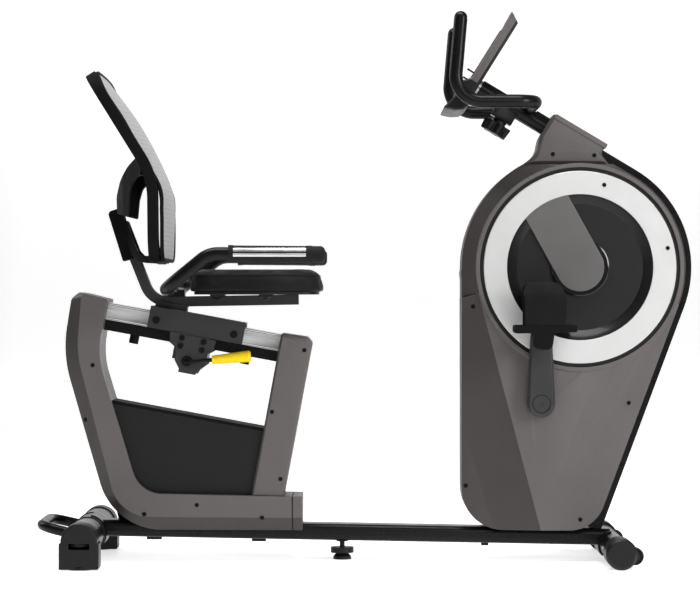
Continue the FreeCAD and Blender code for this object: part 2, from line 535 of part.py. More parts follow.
# ---------------------------------------------------------------- housing
def shell_outline(g):
    """Side outline of the housing, moved inwards by g: X, Z wire at Y = 0."""
    r, back = SHELL_ARC_R - g, SPINE_R - SHELL_SET_BACK - g
    left, bottom, top = SHELL_LEFT + g, SHELL_BOTTOM + g, SHELL_TOP - g
    neck = (RING_X - math.sqrt(r ** 2 - (top - RING_Z) ** 2), top)
    a0, a1 = math.atan2(neck[1] - RING_Z, neck[0] - RING_X), math.pi
    mid = turn(math.degrees((a0 + a1) / 2))
    up, down = turn(180 - SPINE_TOP), turn(270 - SPINE_FOOT)
    t, m, b = [(RING_X + n[0] * back, RING_Z + n[1] * back)
               for n in (turn(90 - SPINE_TOP), turn(45 - (SPINE_TOP + SPINE_FOOT) / 2), turn(-SPINE_FOOT))]
    end = (t[0] + up[0] * (top - t[1]) / up[1], top)
    low = (b[0] + down[0] * (bottom - b[1]) / down[1], bottom)

    def p(q):
        return V(q[0], 0, q[1])
    r1, r2 = 100.0 - g, 86.0 - g
    reach = r2 / math.tan(math.radians((90 + SPINE_FOOT) / 2))
    c1 = (left + r1, bottom + r1)
    c2 = (low[0] - reach, bottom + r2)
    n = turn(270 + (90 - SPINE_FOOT) / 2)
    edges = [Part.Arc(p(neck), p((RING_X + mid[0] * r, RING_Z + mid[1] * r)), p((left, RING_Z))).toShape(),
             Part.makeLine(p((left, RING_Z)), p((left, bottom + r1))),
             Part.Arc(p((left, bottom + r1)), p((c1[0] + turn(225)[0] * r1, c1[1] + turn(225)[1] * r1)),
                      p((left + r1, bottom))).toShape(),
             Part.makeLine(p((left + r1, bottom)), p((low[0] - reach, bottom))),
             Part.Arc(p((low[0] - reach, bottom)), p((c2[0] + n[0] * r2, c2[1] + n[1] * r2)),
                      p((low[0] - down[0] * reach, bottom - down[1] * reach))).toShape(),
             Part.makeLine(p((low[0] - down[0] * reach, bottom - down[1] * reach)), p(b)),
             Part.Arc(p(b), p(m), p(t)).toShape(), Part.makeLine(p(t), p(end)), Part.makeLine(p(end),
                                                                                              p(neck))]
    return Part.Wire(edges)


FACET_DX, FACET_DZ = turn(FACET_LEAN + 180)     # from the ring centre to where the facet line touches the rim


def shell_solid(g):
    """Right half of the housing as a solid block whose walls are moved inwards by g."""
    outline = Part.Face(shell_outline(g))
    edge, face, rim = SHELL_EDGE - g, SHELL_HALF - g, RIM_R - g
    base = outline.extrude(V(0, -edge, 0))
    outline.translate(V(0, -edge, 0))
    upper = outline.extrude(V(0, edge - face, 0))
    cone = Part.makeCone(SHELL_ARC_R - g, rim, face - edge, V(RING_X, -edge, RING_Z), V(0, -1, 0))
    foot = turn(-SPINE_FOOT)
    touch = (RING_X + FACET_DX * rim, RING_Z + FACET_DZ * rim)
    region = slab([(RING_X, RING_Z), (RING_X + FACET_DX * 700, RING_Z + FACET_DZ * 700), (-200, -300),
                   (1200, -300),
                   (RING_X + foot[0] * 700, RING_Z + foot[1] * 700)], 0, -face - 1, -edge + 1)
    # The wedge beyond the facet line, under a plane that falls from face to edge depth.
    along = (-FACET_DZ, FACET_DX)                  # runs down the facet line
    p0 = V(touch[0] - along[0] * 900, -face, touch[1] - along[1] * 900)
    p1 = V(touch[0] + along[0] * 900, -face, touch[1] + along[1] * 900)
    out = V(FACET_DX, 0, FACET_DZ) * 400
    fall = (face - edge) / FACET_RUN
    plane = [p0, p1, p1 + out + V(0, 400 * fall, 0), p0 + out + V(0, 400 * fall, 0)]
    lid = Part.Face(Part.makePolygon(plane + [plane[0]]))
    region = region.cut(lid.extrude(V(0, -200, 0)))
    return base.fuse(upper.common(cone.fuse(region))).removeSplitter()


FACET_RUN = 118.0
SHELL_BLOCK = shell_solid(0)
shell = SHELL_BLOCK.cut(shell_solid(SHELL_WALL)).cut(SPINE_ENVELOPE).cut(BEAM_ENVELOPE)
shell = shell.cut(block(DOWN_TUBE_X - 22, DOWN_TUBE_X + 22, -DOWN_TUBE_Y[1], DOWN_TUBE_Y[1], 60, 100))
RIM_FACE, DISC_T, RING_FACE = 93.0, 3.0, 94.0
shell = shell.fuse(ring(RING_X, RING_Z, RIM_R, RIM_IN, -RIM_FACE, -SHELL_HALF))
shell = shell.cut(rod(CRANK_X, CRANK_Z, 17, -100, 0)).removeSplitter()

save("housing_right", shell)
save("housing_left", mirrored(shell))

# Dark disc cover: plate, sloping ring and hub ring; the silver ring and its spoke lie on it.
y = -SHELL_HALF - DISC_T
spoke_c, spoke_s = turn(180 - BAR_ANGLE)
spoke_n = (-spoke_s, spoke_c)
far = RING_IN + 2
spoke = [(RING_X + spoke_n[0] * BAR_HALF, RING_Z + spoke_n[1] * BAR_HALF),
         (RING_X + spoke_n[0] * BAR_HALF + spoke_c * far, RING_Z + spoke_n[1] * BAR_HALF + spoke_s * far),
         (RING_X - spoke_n[0] * BAR_HALF + spoke_c * far, RING_Z - spoke_n[1] * BAR_HALF + spoke_s * far),
         (RING_X - spoke_n[0] * BAR_HALF, RING_Z - spoke_n[1] * BAR_HALF)]
accent = ring(RING_X, RING_Z, RING_R, RING_IN, -RING_FACE, y)
arm = slab(spoke, 0, -RING_FACE, y).common(rod(RING_X, RING_Z, RING_IN + 1, -RING_FACE, y))
arm = arm.fuse(rod(RING_X, RING_Z, BAR_HALF, -RING_FACE, y))
accent = join([accent, arm])
save("accent_rings", both(accent))
bevel = rod(RING_X, RING_Z, RING_IN, -RING_FACE, y).cut(
    Part.makeCone(BEVEL_IN, RING_IN - 1, RING_FACE + y, V(RING_X, y, RING_Z), V(0, -1, 0)))
disc = join([rod(RING_X, RING_Z, RIM_IN, y, -SHELL_HALF), bevel,
             ring(RING_X, RING_Z, HUB_R, BAR_HALF, -RING_FACE + 1.5, y)])
save("disc_covers", both(disc.cut(accent)))

# Neck cover over the top of the spine, in two halves.
NECK_HALF = 60.0
neck_side = [(456, 1084), (420, 1024), (412, 984), (380, SHELL_TOP), (590, SHELL_TOP), (570, 987),
             (583, 1008)]
neck_radii = [6, 60, 42, 0, 0, 12, 4]
neck = pillow(neck_side, neck_radii, -NECK_HALF + 13, -NECK_HALF, 8)
lip = bar([(459, 1077), (583, 1003)], [], 6, -NECK_HALF - 2, 0)
neck = neck.fuse(lip).removeSplitter()
hollow_side = inset(neck_side, 3)
hollow_side[3:5] = [(hollow_side[3][0], SHELL_TOP - 5), (hollow_side[4][0], SHELL_TOP - 5)]
neck = neck.cut(slab(hollow_side, [3, 57, 45, 0, 0, 12, 2], -NECK_HALF + 14, 1))
mast_x0, mast_z0 = mast(-50, 0)
mast_dir = (-turn(MAST_TILT)[0], 0, turn(MAST_TILT)[1])
MAST_ENVELOPE = pin((mast_x0, 0, mast_z0), mast_dir, MAST_R, 300)


def mast_block(d0, d1, h0, h1, y0, y1):
    return slab([mast(d0, h0), mast(d1, h0), mast(d1, h1), mast(d0, h1)], 0, y0, y1)


MAST_KEY = mast_block(-2, 38, 10, MAST_R + 3, -7, 7)      # raised key on top of the mast
neck = neck.cut(SPINE_ENVELOPE).cut(MAST_ENVELOPE).cut(MAST_KEY)
neck = sorted(neck.Solids, key=lambda solid: -solid.Volume)[0]
save("neck_covers", both(neck))

# ---------------------------------------------------------------- seat frame and rear covers
POST_R, POST_WALL = 19.0, 2.5
rear_post = [(-578.0, 0, beam_z(-578)), (-682.0, 0, 500.0), (-668.0, 0, 640.0)]
SUPPORT = rail_block(RAIL_REAR, RAIL_FRONT, -RAIL_H - SUPPORT_H, -RAIL_H, -30, 30)
POST_ENVELOPE = rail_block(POST_D - POST_HALF, POST_D + POST_HALF, -520, -RAIL_H - SUPPORT_H, -POST_HALF,
                           POST_HALF)
support = SUPPORT.cut(rail_block(RAIL_REAR - 1, RAIL_FRONT + 1, -RAIL_H - SUPPORT_H + 2.5, -RAIL_H - 2.5,
                                 -27.5, 27.5))
post_inside = rail_block(POST_D - POST_HALF + 3, POST_D + POST_HALF - 3, -520, -RAIL_H - SUPPORT_H - 1,
                         3 - POST_HALF, POST_HALF - 3)
rear_tube = tube(rear_post, 220, POST_R, POST_WALL)
above_support = rail_block(RAIL_REAR - 60, RAIL_FRONT, -RAIL_H - SUPPORT_H, 160, -60, 60)
seat_frame = join([rear_tube.cut(above_support), POST_ENVELOPE.cut(post_inside), support])
below_beam = Part.makeBox(1400, 200, 200, V(-900, -100, -140))
below_beam.rotate(V(0, 0, 0), V(0, 1, 0), math.degrees(math.atan(-BEAM_SLOPE)))
below_beam.translate(V(0, 0, BEAM_Z0 - 60))
seat_frame = seat_frame.cut(BEAM_ENVELOPE).cut(below_beam)
seat_frame = sorted(seat_frame.Solids, key=lambda solid: -solid.Volume)[0]
save("seat_frame", seat_frame)

RAIL_ENVELOPE = rail_block(RAIL_REAR, RAIL_FRONT, -RAIL_H, 0, -RAIL_HALF_W, RAIL_HALF_W)
WEB = 12.0
groove = rail_block(RAIL_REAR - 1, RAIL_FRONT + 1, -RAIL_H + FLANGE, -FLANGE, WEB, RAIL_HALF_W + 1)
core = rail_block(RAIL_REAR - 1, RAIL_FRONT + 1, -RAIL_H + FLANGE + 3, -FLANGE - 3, -WEB + 3, WEB - 3)
save("seat_rail", RAIL_ENVELOPE.cut(groove).cut(mirrored(groove)).cut(core))

STOP_D, STOP_DROP = (-148.0, 126.6), 21.0
stops = []
for d in STOP_D:
    x, z = rail(d, -RAIL_H - SUPPORT_H - STOP_DROP)
    nx, nz = turn(90 - RAIL_TILT)
    stops.append(pin((x, 0, z), (nx, 0, nz), 11.5, STOP_DROP))
save("rail_stops", Part.makeCompound(stops))

# Rear shroud: a hooked channel, outer skirt sloping inwards beyond the facet line.
shroud_outer = [(-692, 651), (-712, 636), (-733, 502), (-610, 77), (-153, 75)]
shroud_facet = [(-677, 648), (-686, 641), (-697, 506), (-595, 110), (-153, 107)]
shroud_inner = [(-153, 158), (-546, 166), (-647, 500), (-622, 634)]
outer_r, facet_r, inner_r = [6, 18, 300, 155, 0], [4, 12, 270, 95, 0], [0, 72, 200, 4]


def shroud_solid(g):
    outer, facet = inset(shroud_outer + shroud_inner, g), inset(shroud_facet + shroud_inner, g)
    grow = [max(r - g, 0.5) if r else 0 for r in outer_r] + [r + g if r > 10 else r for r in inner_r]
    grow2 = [max(r - g, 0.5) if r else 0 for r in facet_r] + [r + g if r > 10 else r for r in inner_r]
    edge, face = SHROUD_EDGE - g, SHROUD_HALF - g
    flat = slab(outer, grow, 0, -edge)
    return flat.fuse(taper(outer, grow, facet, grow2, -edge, -face)).removeSplitter()


SHROUD_BLOCK = shroud_solid(0)
rear_tube_solid = pipe(rear_post, 220, POST_R)
shroud = SHROUD_BLOCK.cut(shroud_solid(3)).cut(BEAM_ENVELOPE).cut(RAIL_ENVELOPE).cut(SUPPORT)
shroud = shroud.cut(POST_ENVELOPE).cut(rear_tube_solid)
shroud = sorted(shroud.Solids, key=lambda solid: -solid.Volume)[0]
save("rear_shroud_right", shroud)
save("rear_shroud_left", mirrored(shroud))

# Cover round the front post, in two halves standing on the shroud.
cover_side = [rail(COVER_D0, -405), rail(COVER_D1, -405), rail(COVER_D1, -6), rail(COVER_D1 - 14, 6),
              rail(COVER_D0, 4)]
cover_r = [0, 0, 10, 10, 5]
COVER_BLOCK = pillow(cover_side, cover_r, -COVER_HALF_W + 5, -COVER_HALF_W, 5)
cover = COVER_BLOCK.cut(slab(inset(cover_side, 3), [0, 0, 8, 8, 3], 3 - COVER_HALF_W, 1))
cover = cover.cut(SHROUD_BLOCK).cut(below_beam).cut(RAIL_ENVELOPE).cut(SUPPORT).cut(POST_ENVELOPE)
cover = sorted(cover.Solids, key=lambda solid: -solid.Volume)[0]
save("post_covers", both(cover))

# Dark infill panel between shroud and post cover, closed along its top.
INFILL_HALF, INFILL_TOP = 66.0, -231.5
infill_side = [(-680, 140), (-200, 140), rail(COVER_D0 + 10, INFILL_TOP), rail(-300, INFILL_TOP)]
infill = slab(infill_side, 0, -INFILL_HALF, INFILL_HALF).cut(slab(inset(infill_side, 3), 0, 3 - INFILL_HALF,
                                                                  INFILL_HALF - 3))
infill = infill.cut(SHROUD_BLOCK).cut(mirrored(SHROUD_BLOCK)).cut(COVER_BLOCK).cut(mirrored(COVER_BLOCK))
infill = infill.cut(rear_tube_solid).cut(POST_ENVELOPE)
infill = sorted(infill.Solids, key=lambda solid: -solid.Volume)[0]
save("infill_panel", infill)

# ---------------------------------------------------------------- seat carriage
PLATE_IN, PLATE_OUT, BRACKET_OUT = 52.0, 57.0, 62.0
CARRIAGE_TOP = 12.0
plate = rail_block(CARRIAGE_D0, CARRIAGE_D1, -RAIL_H, CARRIAGE_TOP, -PLATE_OUT, -PLATE_IN)
plate = plate.fuse(rail_block(-45, 38, -82, -RAIL_H + 1, -PLATE_OUT, -PLATE_IN))
lock_side = [rail(*p) for p in ((-62, -41), (-58, -67), (-40, -78), (-39, -107), (-25, -125), (-25, -134),
                                (17, -134), (22, -123), (40, -104), (37, -80), (49, -71), (52, -43))]
lock = slab(lock_side, 0, -BRACKET_OUT, -PLATE_OUT)
plate = plate.fuse(lock)
mount = [rail(*p) for p in ((-112, CARRIAGE_TOP), (-33, CARRIAGE_TOP), (-33, 25), (-106, 28))]
carriage = join([plate, mirrored(plate), slab(mount, 0, -28, 28),
                 rail_block(CARRIAGE_D0, CARRIAGE_D1, CARRIAGE_TOP - 5, CARRIAGE_TOP, -PLATE_OUT, PLATE_OUT),
                 rail_block(-46, -40, -104, -70, -PLATE_OUT, PLATE_OUT),
                 rail_block(32, 38, -98, -70, -PLATE_OUT, PLATE_OUT)])
seat_bar = [(-163.0, 633.0), (-520.0, 627.0), (-603.5, 836.0)]
SEAT_BAR = bar(seat_bar, [60], 12.5, -20, 20)
carriage = carriage.cut(SEAT_BAR)
LEVER_X, LEVER_Z = rail(LEVER_D, LEVER_H)
LEVER_PIN_R = 7.0
carriage = carriage.cut(rod(LEVER_X, LEVER_Z, LEVER_PIN_R + 0.05, -100, 100))
bolts = []
bolt_places = [(-30, -51), (-30.5, -71), (23.5, -51.5), (22.5, -72)]
for d, h in bolt_places:
    x, z = rail(d, h)
    bolts.append(rod(x, z, 7, -BRACKET_OUT - 5,
                     -BRACKET_OUT).fuse(rod(x, z, 4, -BRACKET_OUT - 1, -PLATE_IN + 6)))
AXLE_BOLT_R, ROLLER_IN, ROLLER_OUT, ROLLER_H = 5.0, 14.0, 33.0, -RAIL_H / 2
for d in ROLLER_D:
    x, z = rail(d, ROLLER_H)
    bolts.append(rod(x, z, 9, -PLATE_OUT - 3,
                     -PLATE_OUT).fuse(rod(x, z, AXLE_BOLT_R, -PLATE_OUT - 1, -ROLLER_IN)))
for b in bolts:
    carriage = carriage.cut(b).cut(mirrored(b))
save("carriage_bracket", carriage)
save("carriage_bolts", both(Part.makeCompound(bolts)))
for name, d in zip(("rear_rollers", "front_rollers"), ROLLER_D):
    x, z = rail(d, ROLLER_H)
    wheel = ring(x, z, ROLLER_R, AXLE_BOLT_R + 0.05, -ROLLER_OUT, -ROLLER_IN - 0.5)
    wheel = wheel.fuse(ring(x, z, 8, AXLE_BOLT_R + 0.05, -ROLLER_OUT - 15, -ROLLER_OUT))
    save(name, both(wheel))

# Lock: lever with an eccentric between the brackets, shoe pressed up against the support beam.
CAM_R, CAM_OFF = 16.2, 12.0
c, s = turn(90 - RAIL_TILT + 30)
cam = rod(LEVER_X + c * CAM_OFF, LEVER_Z + s * CAM_OFF, CAM_R, -14, 14)
LEVER_Y = -95.0
g0, g1 = turn(5.5)
lever_path = [(LEVER_X, -70, LEVER_Z), (LEVER_X, LEVER_Y, LEVER_Z - 2),
              (LEVER_X + 150 * g0, LEVER_Y, LEVER_Z - 2 + 150 * g1)]
LEVER_R, HANDLE_GRIP_R = 5.0, 11.0
lever = join([rod(LEVER_X, LEVER_Z, LEVER_PIN_R, -70, 68), cam,
              rod(LEVER_X, LEVER_Z, 13, -68, -BRACKET_OUT - 1),
              rod(LEVER_X, LEVER_Z, 12, 64, 68), pipe(lever_path, 12, LEVER_R)])
save("lock_lever", lever)
start = (LEVER_X + 62 * g0, LEVER_Y, LEVER_Z - 2 + 62 * g1)
grip = Part.makeCone(HANDLE_GRIP_R - 1, HANDLE_GRIP_R + 3, 90, V(*start), V(g0, 0, g1))
grip = grip.fuse(Part.makeCone(HANDLE_GRIP_R + 3, HANDLE_GRIP_R, 4,
                               V(start[0] + 90 * g0, LEVER_Y, start[2] + 90 * g1),
                               V(g0, 0, g1)))
save("lever_grip", grip.cut(lever))
SHOE_TOP = -RAIL_H - SUPPORT_H - 0.3
shoe = rail_block(-38, 30, SHOE_TOP - 10, SHOE_TOP, -26, 26)
save("lock_shoe", shoe.fuse(rail_block(-38, 30, SHOE_TOP - 22, SHOE_TOP - 9, 16, 26)).fuse(
    rail_block(-38, 30, SHOE_TOP - 22, SHOE_TOP - 9, -26, -16)).removeSplitter())


# ---------------------------------------------------------------- seat
plug = SEAT_BAR.common(block(seat_bar[0][0] - 3, seat_bar[0][0] + 1, -21, 21, 600, 660))
save("seat_beam", SEAT_BAR.cut(bar(seat_bar, [60], 10.0, -17.5, 17.5)).fuse(plug).removeSplitter())

seat_plan = [(SEAT_X0, -185), (SEAT_X0 + 150, -SEAT_HALF_W), (SEAT_X1, -195), (SEAT_X1, 195),
             (SEAT_X0 + 150, SEAT_HALF_W), (SEAT_X0, 185)]
seat_r = [70, 300, 60, 60, 300, 70]
cushion = Part.Face(rounded(seat_plan, seat_r, at_z(SEAT_Z0))).extrude(V(0, 0, SEAT_Z1 - SEAT_Z0))


def rim_edges(shape, z):
    return [e for e in shape.Edges if all(abs(v.Z - z) < 0.01 for v in e.Vertexes)]


cushion = cushion.makeFillet(16, rim_edges(cushion, SEAT_Z1))
cushion = cushion.makeFillet(6, rim_edges(cushion, SEAT_Z0))
save("seat_cushion", cushion)
pan = Part.Face(rounded(inset(seat_plan, 12), [58, 288, 48, 48, 288, 58], at_z(SEAT_Z0 - 7))).extrude(V(0, 0,
                                                                                                        7))
BOSS_X, BOSS_Y = (-360.0, -242.0), 70.0
for x in BOSS_X:
    pan = pan.fuse(block(x - 15, x + 15, -BOSS_Y - 25, BOSS_Y + 25, SEAT_Z0 - 13, SEAT_Z0 - 7))
    for y in (-BOSS_Y, BOSS_Y):
        pan = pan.fuse(Part.makeCone(6, 15, 8, V(x, y, SEAT_Z0 - 19)))
save("seat_pan", pan.removeSplitter().cut(SEAT_BAR))

# Side handles: one tube bent round behind the cushion, with grips and two contact strips on each side.
CROSS_X, CROSS_Z, ARM_Z = -470.0, 657.0, 738.5
arm_half = [(CROSS_X, 0, CROSS_Z), (CROSS_X, -ARM_Y, CROSS_Z), (-368.0, -ARM_Y, ARM_Z + 2),
            (-112.0, -ARM_Y, ARM_Z)]
handle_wall = 2.0
half = pipe(arm_half, [48, 60], ARM_R).cut(pipe(arm_half, [48, 60], ARM_R - handle_wall))
saddle = block(CROSS_X - 18, CROSS_X + 30, -24, 24, 640, CROSS_Z).cut(rod(CROSS_X, CROSS_Z, ARM_R, -60, 60))
save("seat_handle", join([half, mirrored(half), saddle]).cut(SEAT_BAR))
GRIP_X0, GRIP_X1, STRIP_X0, STRIP_X1 = -323.0, -110.0, -311.0, -141.0
slope = 2.0 / 256.0


def along_grip(x0, x1, outer, inner):
    z = ARM_Z - slope * (x0 + 112.0)
    axis = V(x1 - x0, 0, -slope * (x1 - x0))
    solid = Part.makeCylinder(outer, axis.Length, V(x0, -ARM_Y, z), axis)
    return solid.cut(Part.makeCylinder(inner, axis.Length, V(x0, -ARM_Y, z), axis)) if inner else solid


grip = along_grip(GRIP_X0, GRIP_X1, GRIP_R, ARM_R)
for x0, x1 in ((GRIP_X0, STRIP_X0), (STRIP_X1, STRIP_X1 + 14)):
    grip = grip.fuse(along_grip(x0, x1, GRIP_R + 1, ARM_R))
end = pin((GRIP_X1, -ARM_Y, ARM_Z), (1, 0, -slope), GRIP_R, 14)
end = end.makeFillet(12, [e for e in end.Edges if all(v.X > GRIP_X1 + 7 for v in e.Vertexes)])
grip = join([grip, end])
strips = along_grip(STRIP_X0, STRIP_X1, GRIP_R + 0.8, GRIP_R - 1)
wedge = block(STRIP_X0, STRIP_X1, -ARM_Y - 24, -ARM_Y + 24, ARM_Z - 5, ARM_Z + 3)
wedge = wedge.fuse(block(STRIP_X0, STRIP_X1, -ARM_Y - 24, -ARM_Y + 24, ARM_Z + 7, ARM_Z + 15))
strips = strips.common(wedge)
save("pulse_sensors", both(strips))
save("hand_grips", both(grip.cut(strips)))

# ---------------------------------------------------------------- backrest
# The rim is a bent plate with a window; the mesh is stretched over its front.
BACK_LINE, BACK_BEND_R = [(-502.0, 722.0), (-504.0, 925.0), (-656.9, 1171.0)], 190.0
RIM_W, RIM_CORNER, MESH_T = 26.0, 72.0, 3.0


def back_plate(trim, half):
    """Plate along the backrest line with rounded corners, its outline moved inwards by trim."""
    (x0, z0), bend, (x1, z1) = BACK_LINE
    low, high = math.hypot(bend[0] - x0, bend[1] - z0), math.hypot(x1 - bend[0], z1 - bend[1])
    line = [(x0 + (bend[0] - x0) * trim / low, z0 + (bend[1] - z0) * trim / low), bend,
            (x1 + (bend[0] - x1) * trim / high, z1 + (bend[1] - z1) * trim / high)]
    plate = bar(line, [BACK_BEND_R], half, trim - BACK_HALF_W, BACK_HALF_W - trim)
    across = [e for e in plate.Edges if abs(e.Length - 2 * half) < 0.1
              and all(abs(abs(v.Y) - BACK_HALF_W + trim) < 0.1 for v in e.Vertexes)]
    return plate.makeFillet(RIM_CORNER - 0.8 * trim, across)


back_frame = back_plate(0, BACK_T).cut(back_plate(RIM_W, BACK_T + 40))
save("backrest_frame", back_frame)

SLEEVE = slab([(-557.3, 736.1), (-589.7, 725.9), (-627.2, 845.9), (-594.8, 856.1)], [2, 2, 10, 3], -33, 33)


def wing(side, side_r, plan, plan_r):
    """Right-hand arm given by its outline from the side and from above."""
    above = Part.Face(rounded(plan, plan_r, at_z(700))).extrude(V(0, 0, 350))
    return slab(side, side_r, -BACK_HALF_W, 0).common(above)


upper = wing([(-600, 840), (-603, 880), (-590, 918), (-568, 950), (-545, 970), (-512, 984), (-508, 930),
              (-541, 925),
              (-556, 908), (-563, 880), (-567, 832)], [4, 40, 40, 60, 40, 0, 0, 20, 30, 40, 4],
             [(-608, 0), (-604, -60), (-582, -142), (-532, -232), (-516, -224), (-566, -134), (-588, -56),
              (-592, 0)],
             [0, 60, 90, 0, 0, 90, 60, 0])
lower = bar([(-587, 822), (-561, 748), (-546, 731), (-496, 729)], [14, 14], 8, -BACK_HALF_W, 0)
lower_plan = Part.Face(rounded([(-604, -10), (-576, -44), (-494, -162), (-480, -150), (-560, -34), (-586, 0)],
                               [0, 30, 0, 0, 30, 0], at_z(700))).extrude(V(0, 0, 140))
lower = lower.common(lower_plan)
yoke = join([SLEEVE, upper, lower, mirrored(upper), mirrored(lower)]).cut(SEAT_BAR).cut(back_frame)
save("backrest_yoke", sorted(yoke.Solids, key=lambda solid: -solid.Volume)[0])


def mesh_section(y, pts, thick):
    """Thin closed section of the mesh through points (x, z), bottom to top."""
    runs = [normal(s, e) for s, e in zip(pts, pts[1:])]
    runs = [runs[0]] + runs + [runs[-1]]
    back = [shifted(p, runs[i], runs[i + 1], thick) for i, p in enumerate(pts)]
    front = Part.BSplineCurve()
    front.interpolate([V(x, y, z) for x, z in pts])
    rear = Part.BSplineCurve()
    rear.interpolate([V(x, y, z) for x, z in back[::-1]])
    a, b = [V(x, y, z) for x, z in pts], [V(x, y, z) for x, z in back]
    return Part.Wire([front.toShape(), Part.makeLine(a[-1], b[-1]), rear.toShape(),
                      Part.makeLine(b[0], a[0])])


edge_line = [(-485.6, 722), (-485.9, 748), (-486.6, 821), (-488.4, 894), (-549.2, 1029.5), (-610.8, 1128.5),
             (-643, 1181)]
mid_line = [(-485, 722), (-479, 748), (-465, 821), (-472, 894), (-524, 1029.5), (-596, 1128.5), (-640, 1182)]
mesh = Part.makeLoft([mesh_section(y, line, MESH_T) for y, line in
                      ((-BACK_HALF_W, edge_line), (0, mid_line), (BACK_HALF_W, edge_line))], True, False)
mesh = mesh.common(back_plate(4, BACK_T + 50)).cut(back_frame)
save("backrest_mesh", sorted(mesh.Solids, key=lambda solid: -solid.Volume)[0])

# ---------------------------------------------------------------- mast, handlebar and console
MAST_END, MAST_WALL, INNER_R = 186.0, 2.5, 18.0
x0, z0 = mast(-50, 0)
mast_tube = pin((x0, 0, z0), mast_dir, MAST_R, MAST_END + 50)
bore = pin((x0, 0, z0), mast_dir, MAST_R - MAST_WALL, MAST_END + 51)
KNOB_D, BOSS_H = 103.0, -42.0
down_dir = (-turn(90 - MAST_TILT)[0], 0, -turn(90 - MAST_TILT)[1])
boss = mast_block(KNOB_D - 28, KNOB_D + 28, BOSS_H, -10, -20, 20)
mast_shape = join([mast_tube, boss, MAST_KEY]).cut(bore).cut(SPINE_ENVELOPE)
KNOB_SCREW_R = 5.0
x, z = mast(KNOB_D, -70)
up_dir = (-down_dir[0], 0, -down_dir[2])
mast_shape = mast_shape.cut(pin((x, 0, z), up_dir, KNOB_SCREW_R + 0.05, 60))
HANDLE_BAR_X = 403.0
bar_half = [(HANDLE_BAR_X, 0, BAR_Z), (HANDLE_BAR_X, -BAR_Y, BAR_Z), (207, -BAR_Y, BAR_Z),
            (224, -BAR_Y, 1300)]
BAR_WALL = 2.0
half_bar = pipe(bar_half, [50, 62], BAR_R).cut(pipe(bar_half, [50, 62], BAR_R - BAR_WALL))
end_cap = Part.makeSphere(BAR_R, V(224, -BAR_Y, 1300))
end_cap = end_cap.cut(block(180, 270, -260, -160, 1200, 1300))
half_bar = join([half_bar, end_cap])
mast_solid = pin((x0, 0, z0), mast_dir, MAST_R, MAST_END + 50).fuse(MAST_KEY)
save("mast", mast_shape)
save("handlebar", join([half_bar, mirrored(half_bar)]).cut(mast_solid))

# Clamp knob: hub against the boss, seven lobes that narrow downwards, and the clamping screw.
KNOB_R, KNOB_LOBE, KNOB_LOBES, KNOB_H = 27.0, 10.0, 7, 27.0
x, z = mast(KNOB_D, BOSS_H - 10)
lobes = [Part.makeCone(KNOB_R + 2, KNOB_R - 3, KNOB_H, V(x, 0, z), V(*down_dir))]
side_dir = V(*down_dir).cross(V(0, 1, 0))
for i in range(KNOB_LOBES):
    c, s = turn(360.0 / KNOB_LOBES * (i + 0.5))
    off = V(0, 1, 0) * (s * KNOB_R) + side_dir * (c * KNOB_R)
    lobes.append(Part.makeCone(KNOB_LOBE, KNOB_LOBE - 3, KNOB_H, V(x, 0, z) + off, V(*down_dir)))
x, z = mast(KNOB_D, BOSS_H - 0.5)
lobes.append(pin((x, 0, z), down_dir, 17, 12))
x, z = mast(KNOB_D, -INNER_R - 0.4)
lobes.append(pin((x, 0, z), down_dir, KNOB_SCREW_R, 40))
knob = join(lobes)
save("clamp_knob", knob)

# Console: inner tube with a head plate, shell with a lower tray, screen on the face towards the rider.
console_side = [(349, 1324), (364, 1294), (262, 1131), (246, 1098), (232, 1087), (210, 1086), (184, 1092),
                (212, 1120), (226, 1156), (252, 1164), (341, 1306)]
console_r = [2, 5, 30, 10, 8, 12, 3, 20, 10, 14, 5]
console = pillow(console_side, console_r, -CONSOLE_HALF_W + 6, -CONSOLE_HALF_W, 4)
console = console.fuse(mirrored(console)).removeSplitter()
x, z = mast(MAST_END - 120, 0)
INNER_LEN, INNER_WALL = 136.0, 2.5
inner = pin((x, 0, z), mast_dir, INNER_R, INNER_LEN)
inner = inner.cut(pin((x, 0, z), mast_dir, INNER_R - INNER_WALL, INNER_LEN - 4))
console_hollow = slab(inset(console_side, 3.5), [1, 3, 26, 7, 4, 8, 1, 24, 12, 18, 2], 4 - CONSOLE_HALF_W,
                      CONSOLE_HALF_W - 4)
face_dir = V(341 - 252, 0, 1306 - 1164).normalize()
face_n = V(-face_dir.z, 0, face_dir.x)
SCREEN_LEN, SCREEN_HALF, SCREEN_T = 118.0, 112.0, 2.0
corner = V(252, 0, 1164) + face_dir * 16
screen_side = [(corner.x, corner.z), (corner.x + face_dir.x * SCREEN_LEN, corner.z + face_dir.z * SCREEN_LEN)]
screen_pts = screen_side + [(p[0] - face_n.x * SCREEN_T,
                             p[1] - face_n.z * SCREEN_T) for p in screen_side[::-1]]
screen = slab(screen_pts, 0, -SCREEN_HALF, SCREEN_HALF)
console = console.cut(console_hollow).cut(screen).cut(inner)
save("console_shell", sorted(console.Solids, key=lambda solid: -solid.Volume)[0])
save("console_screen", screen)
save("console_tube", inner)

# ---------------------------------------------------------------- cover screws
screws = []
SCREW_HEAD_R, SCREW_HEAD_T = 5.0, 1.5
SCREW_PLACES = ((SHELL_HALF, (517, 103), (634, 384)), (RING_FACE, (574, 909), (727, 757)),
                (SHROUD_HALF, (-658, 475), (-407, 138)), (COVER_HALF_W, (-148, 511), (-206, 200),
                                                          (-226, 362)),
                (NECK_HALF, (453, 985), (553, 982)))
for face, *places in SCREW_PLACES:
    for x, z in places:
        screws.append(rod(x, z, SCREW_HEAD_R, -face - SCREW_HEAD_T, -face))
save("cover_screws", both(Part.makeCompound(screws)))
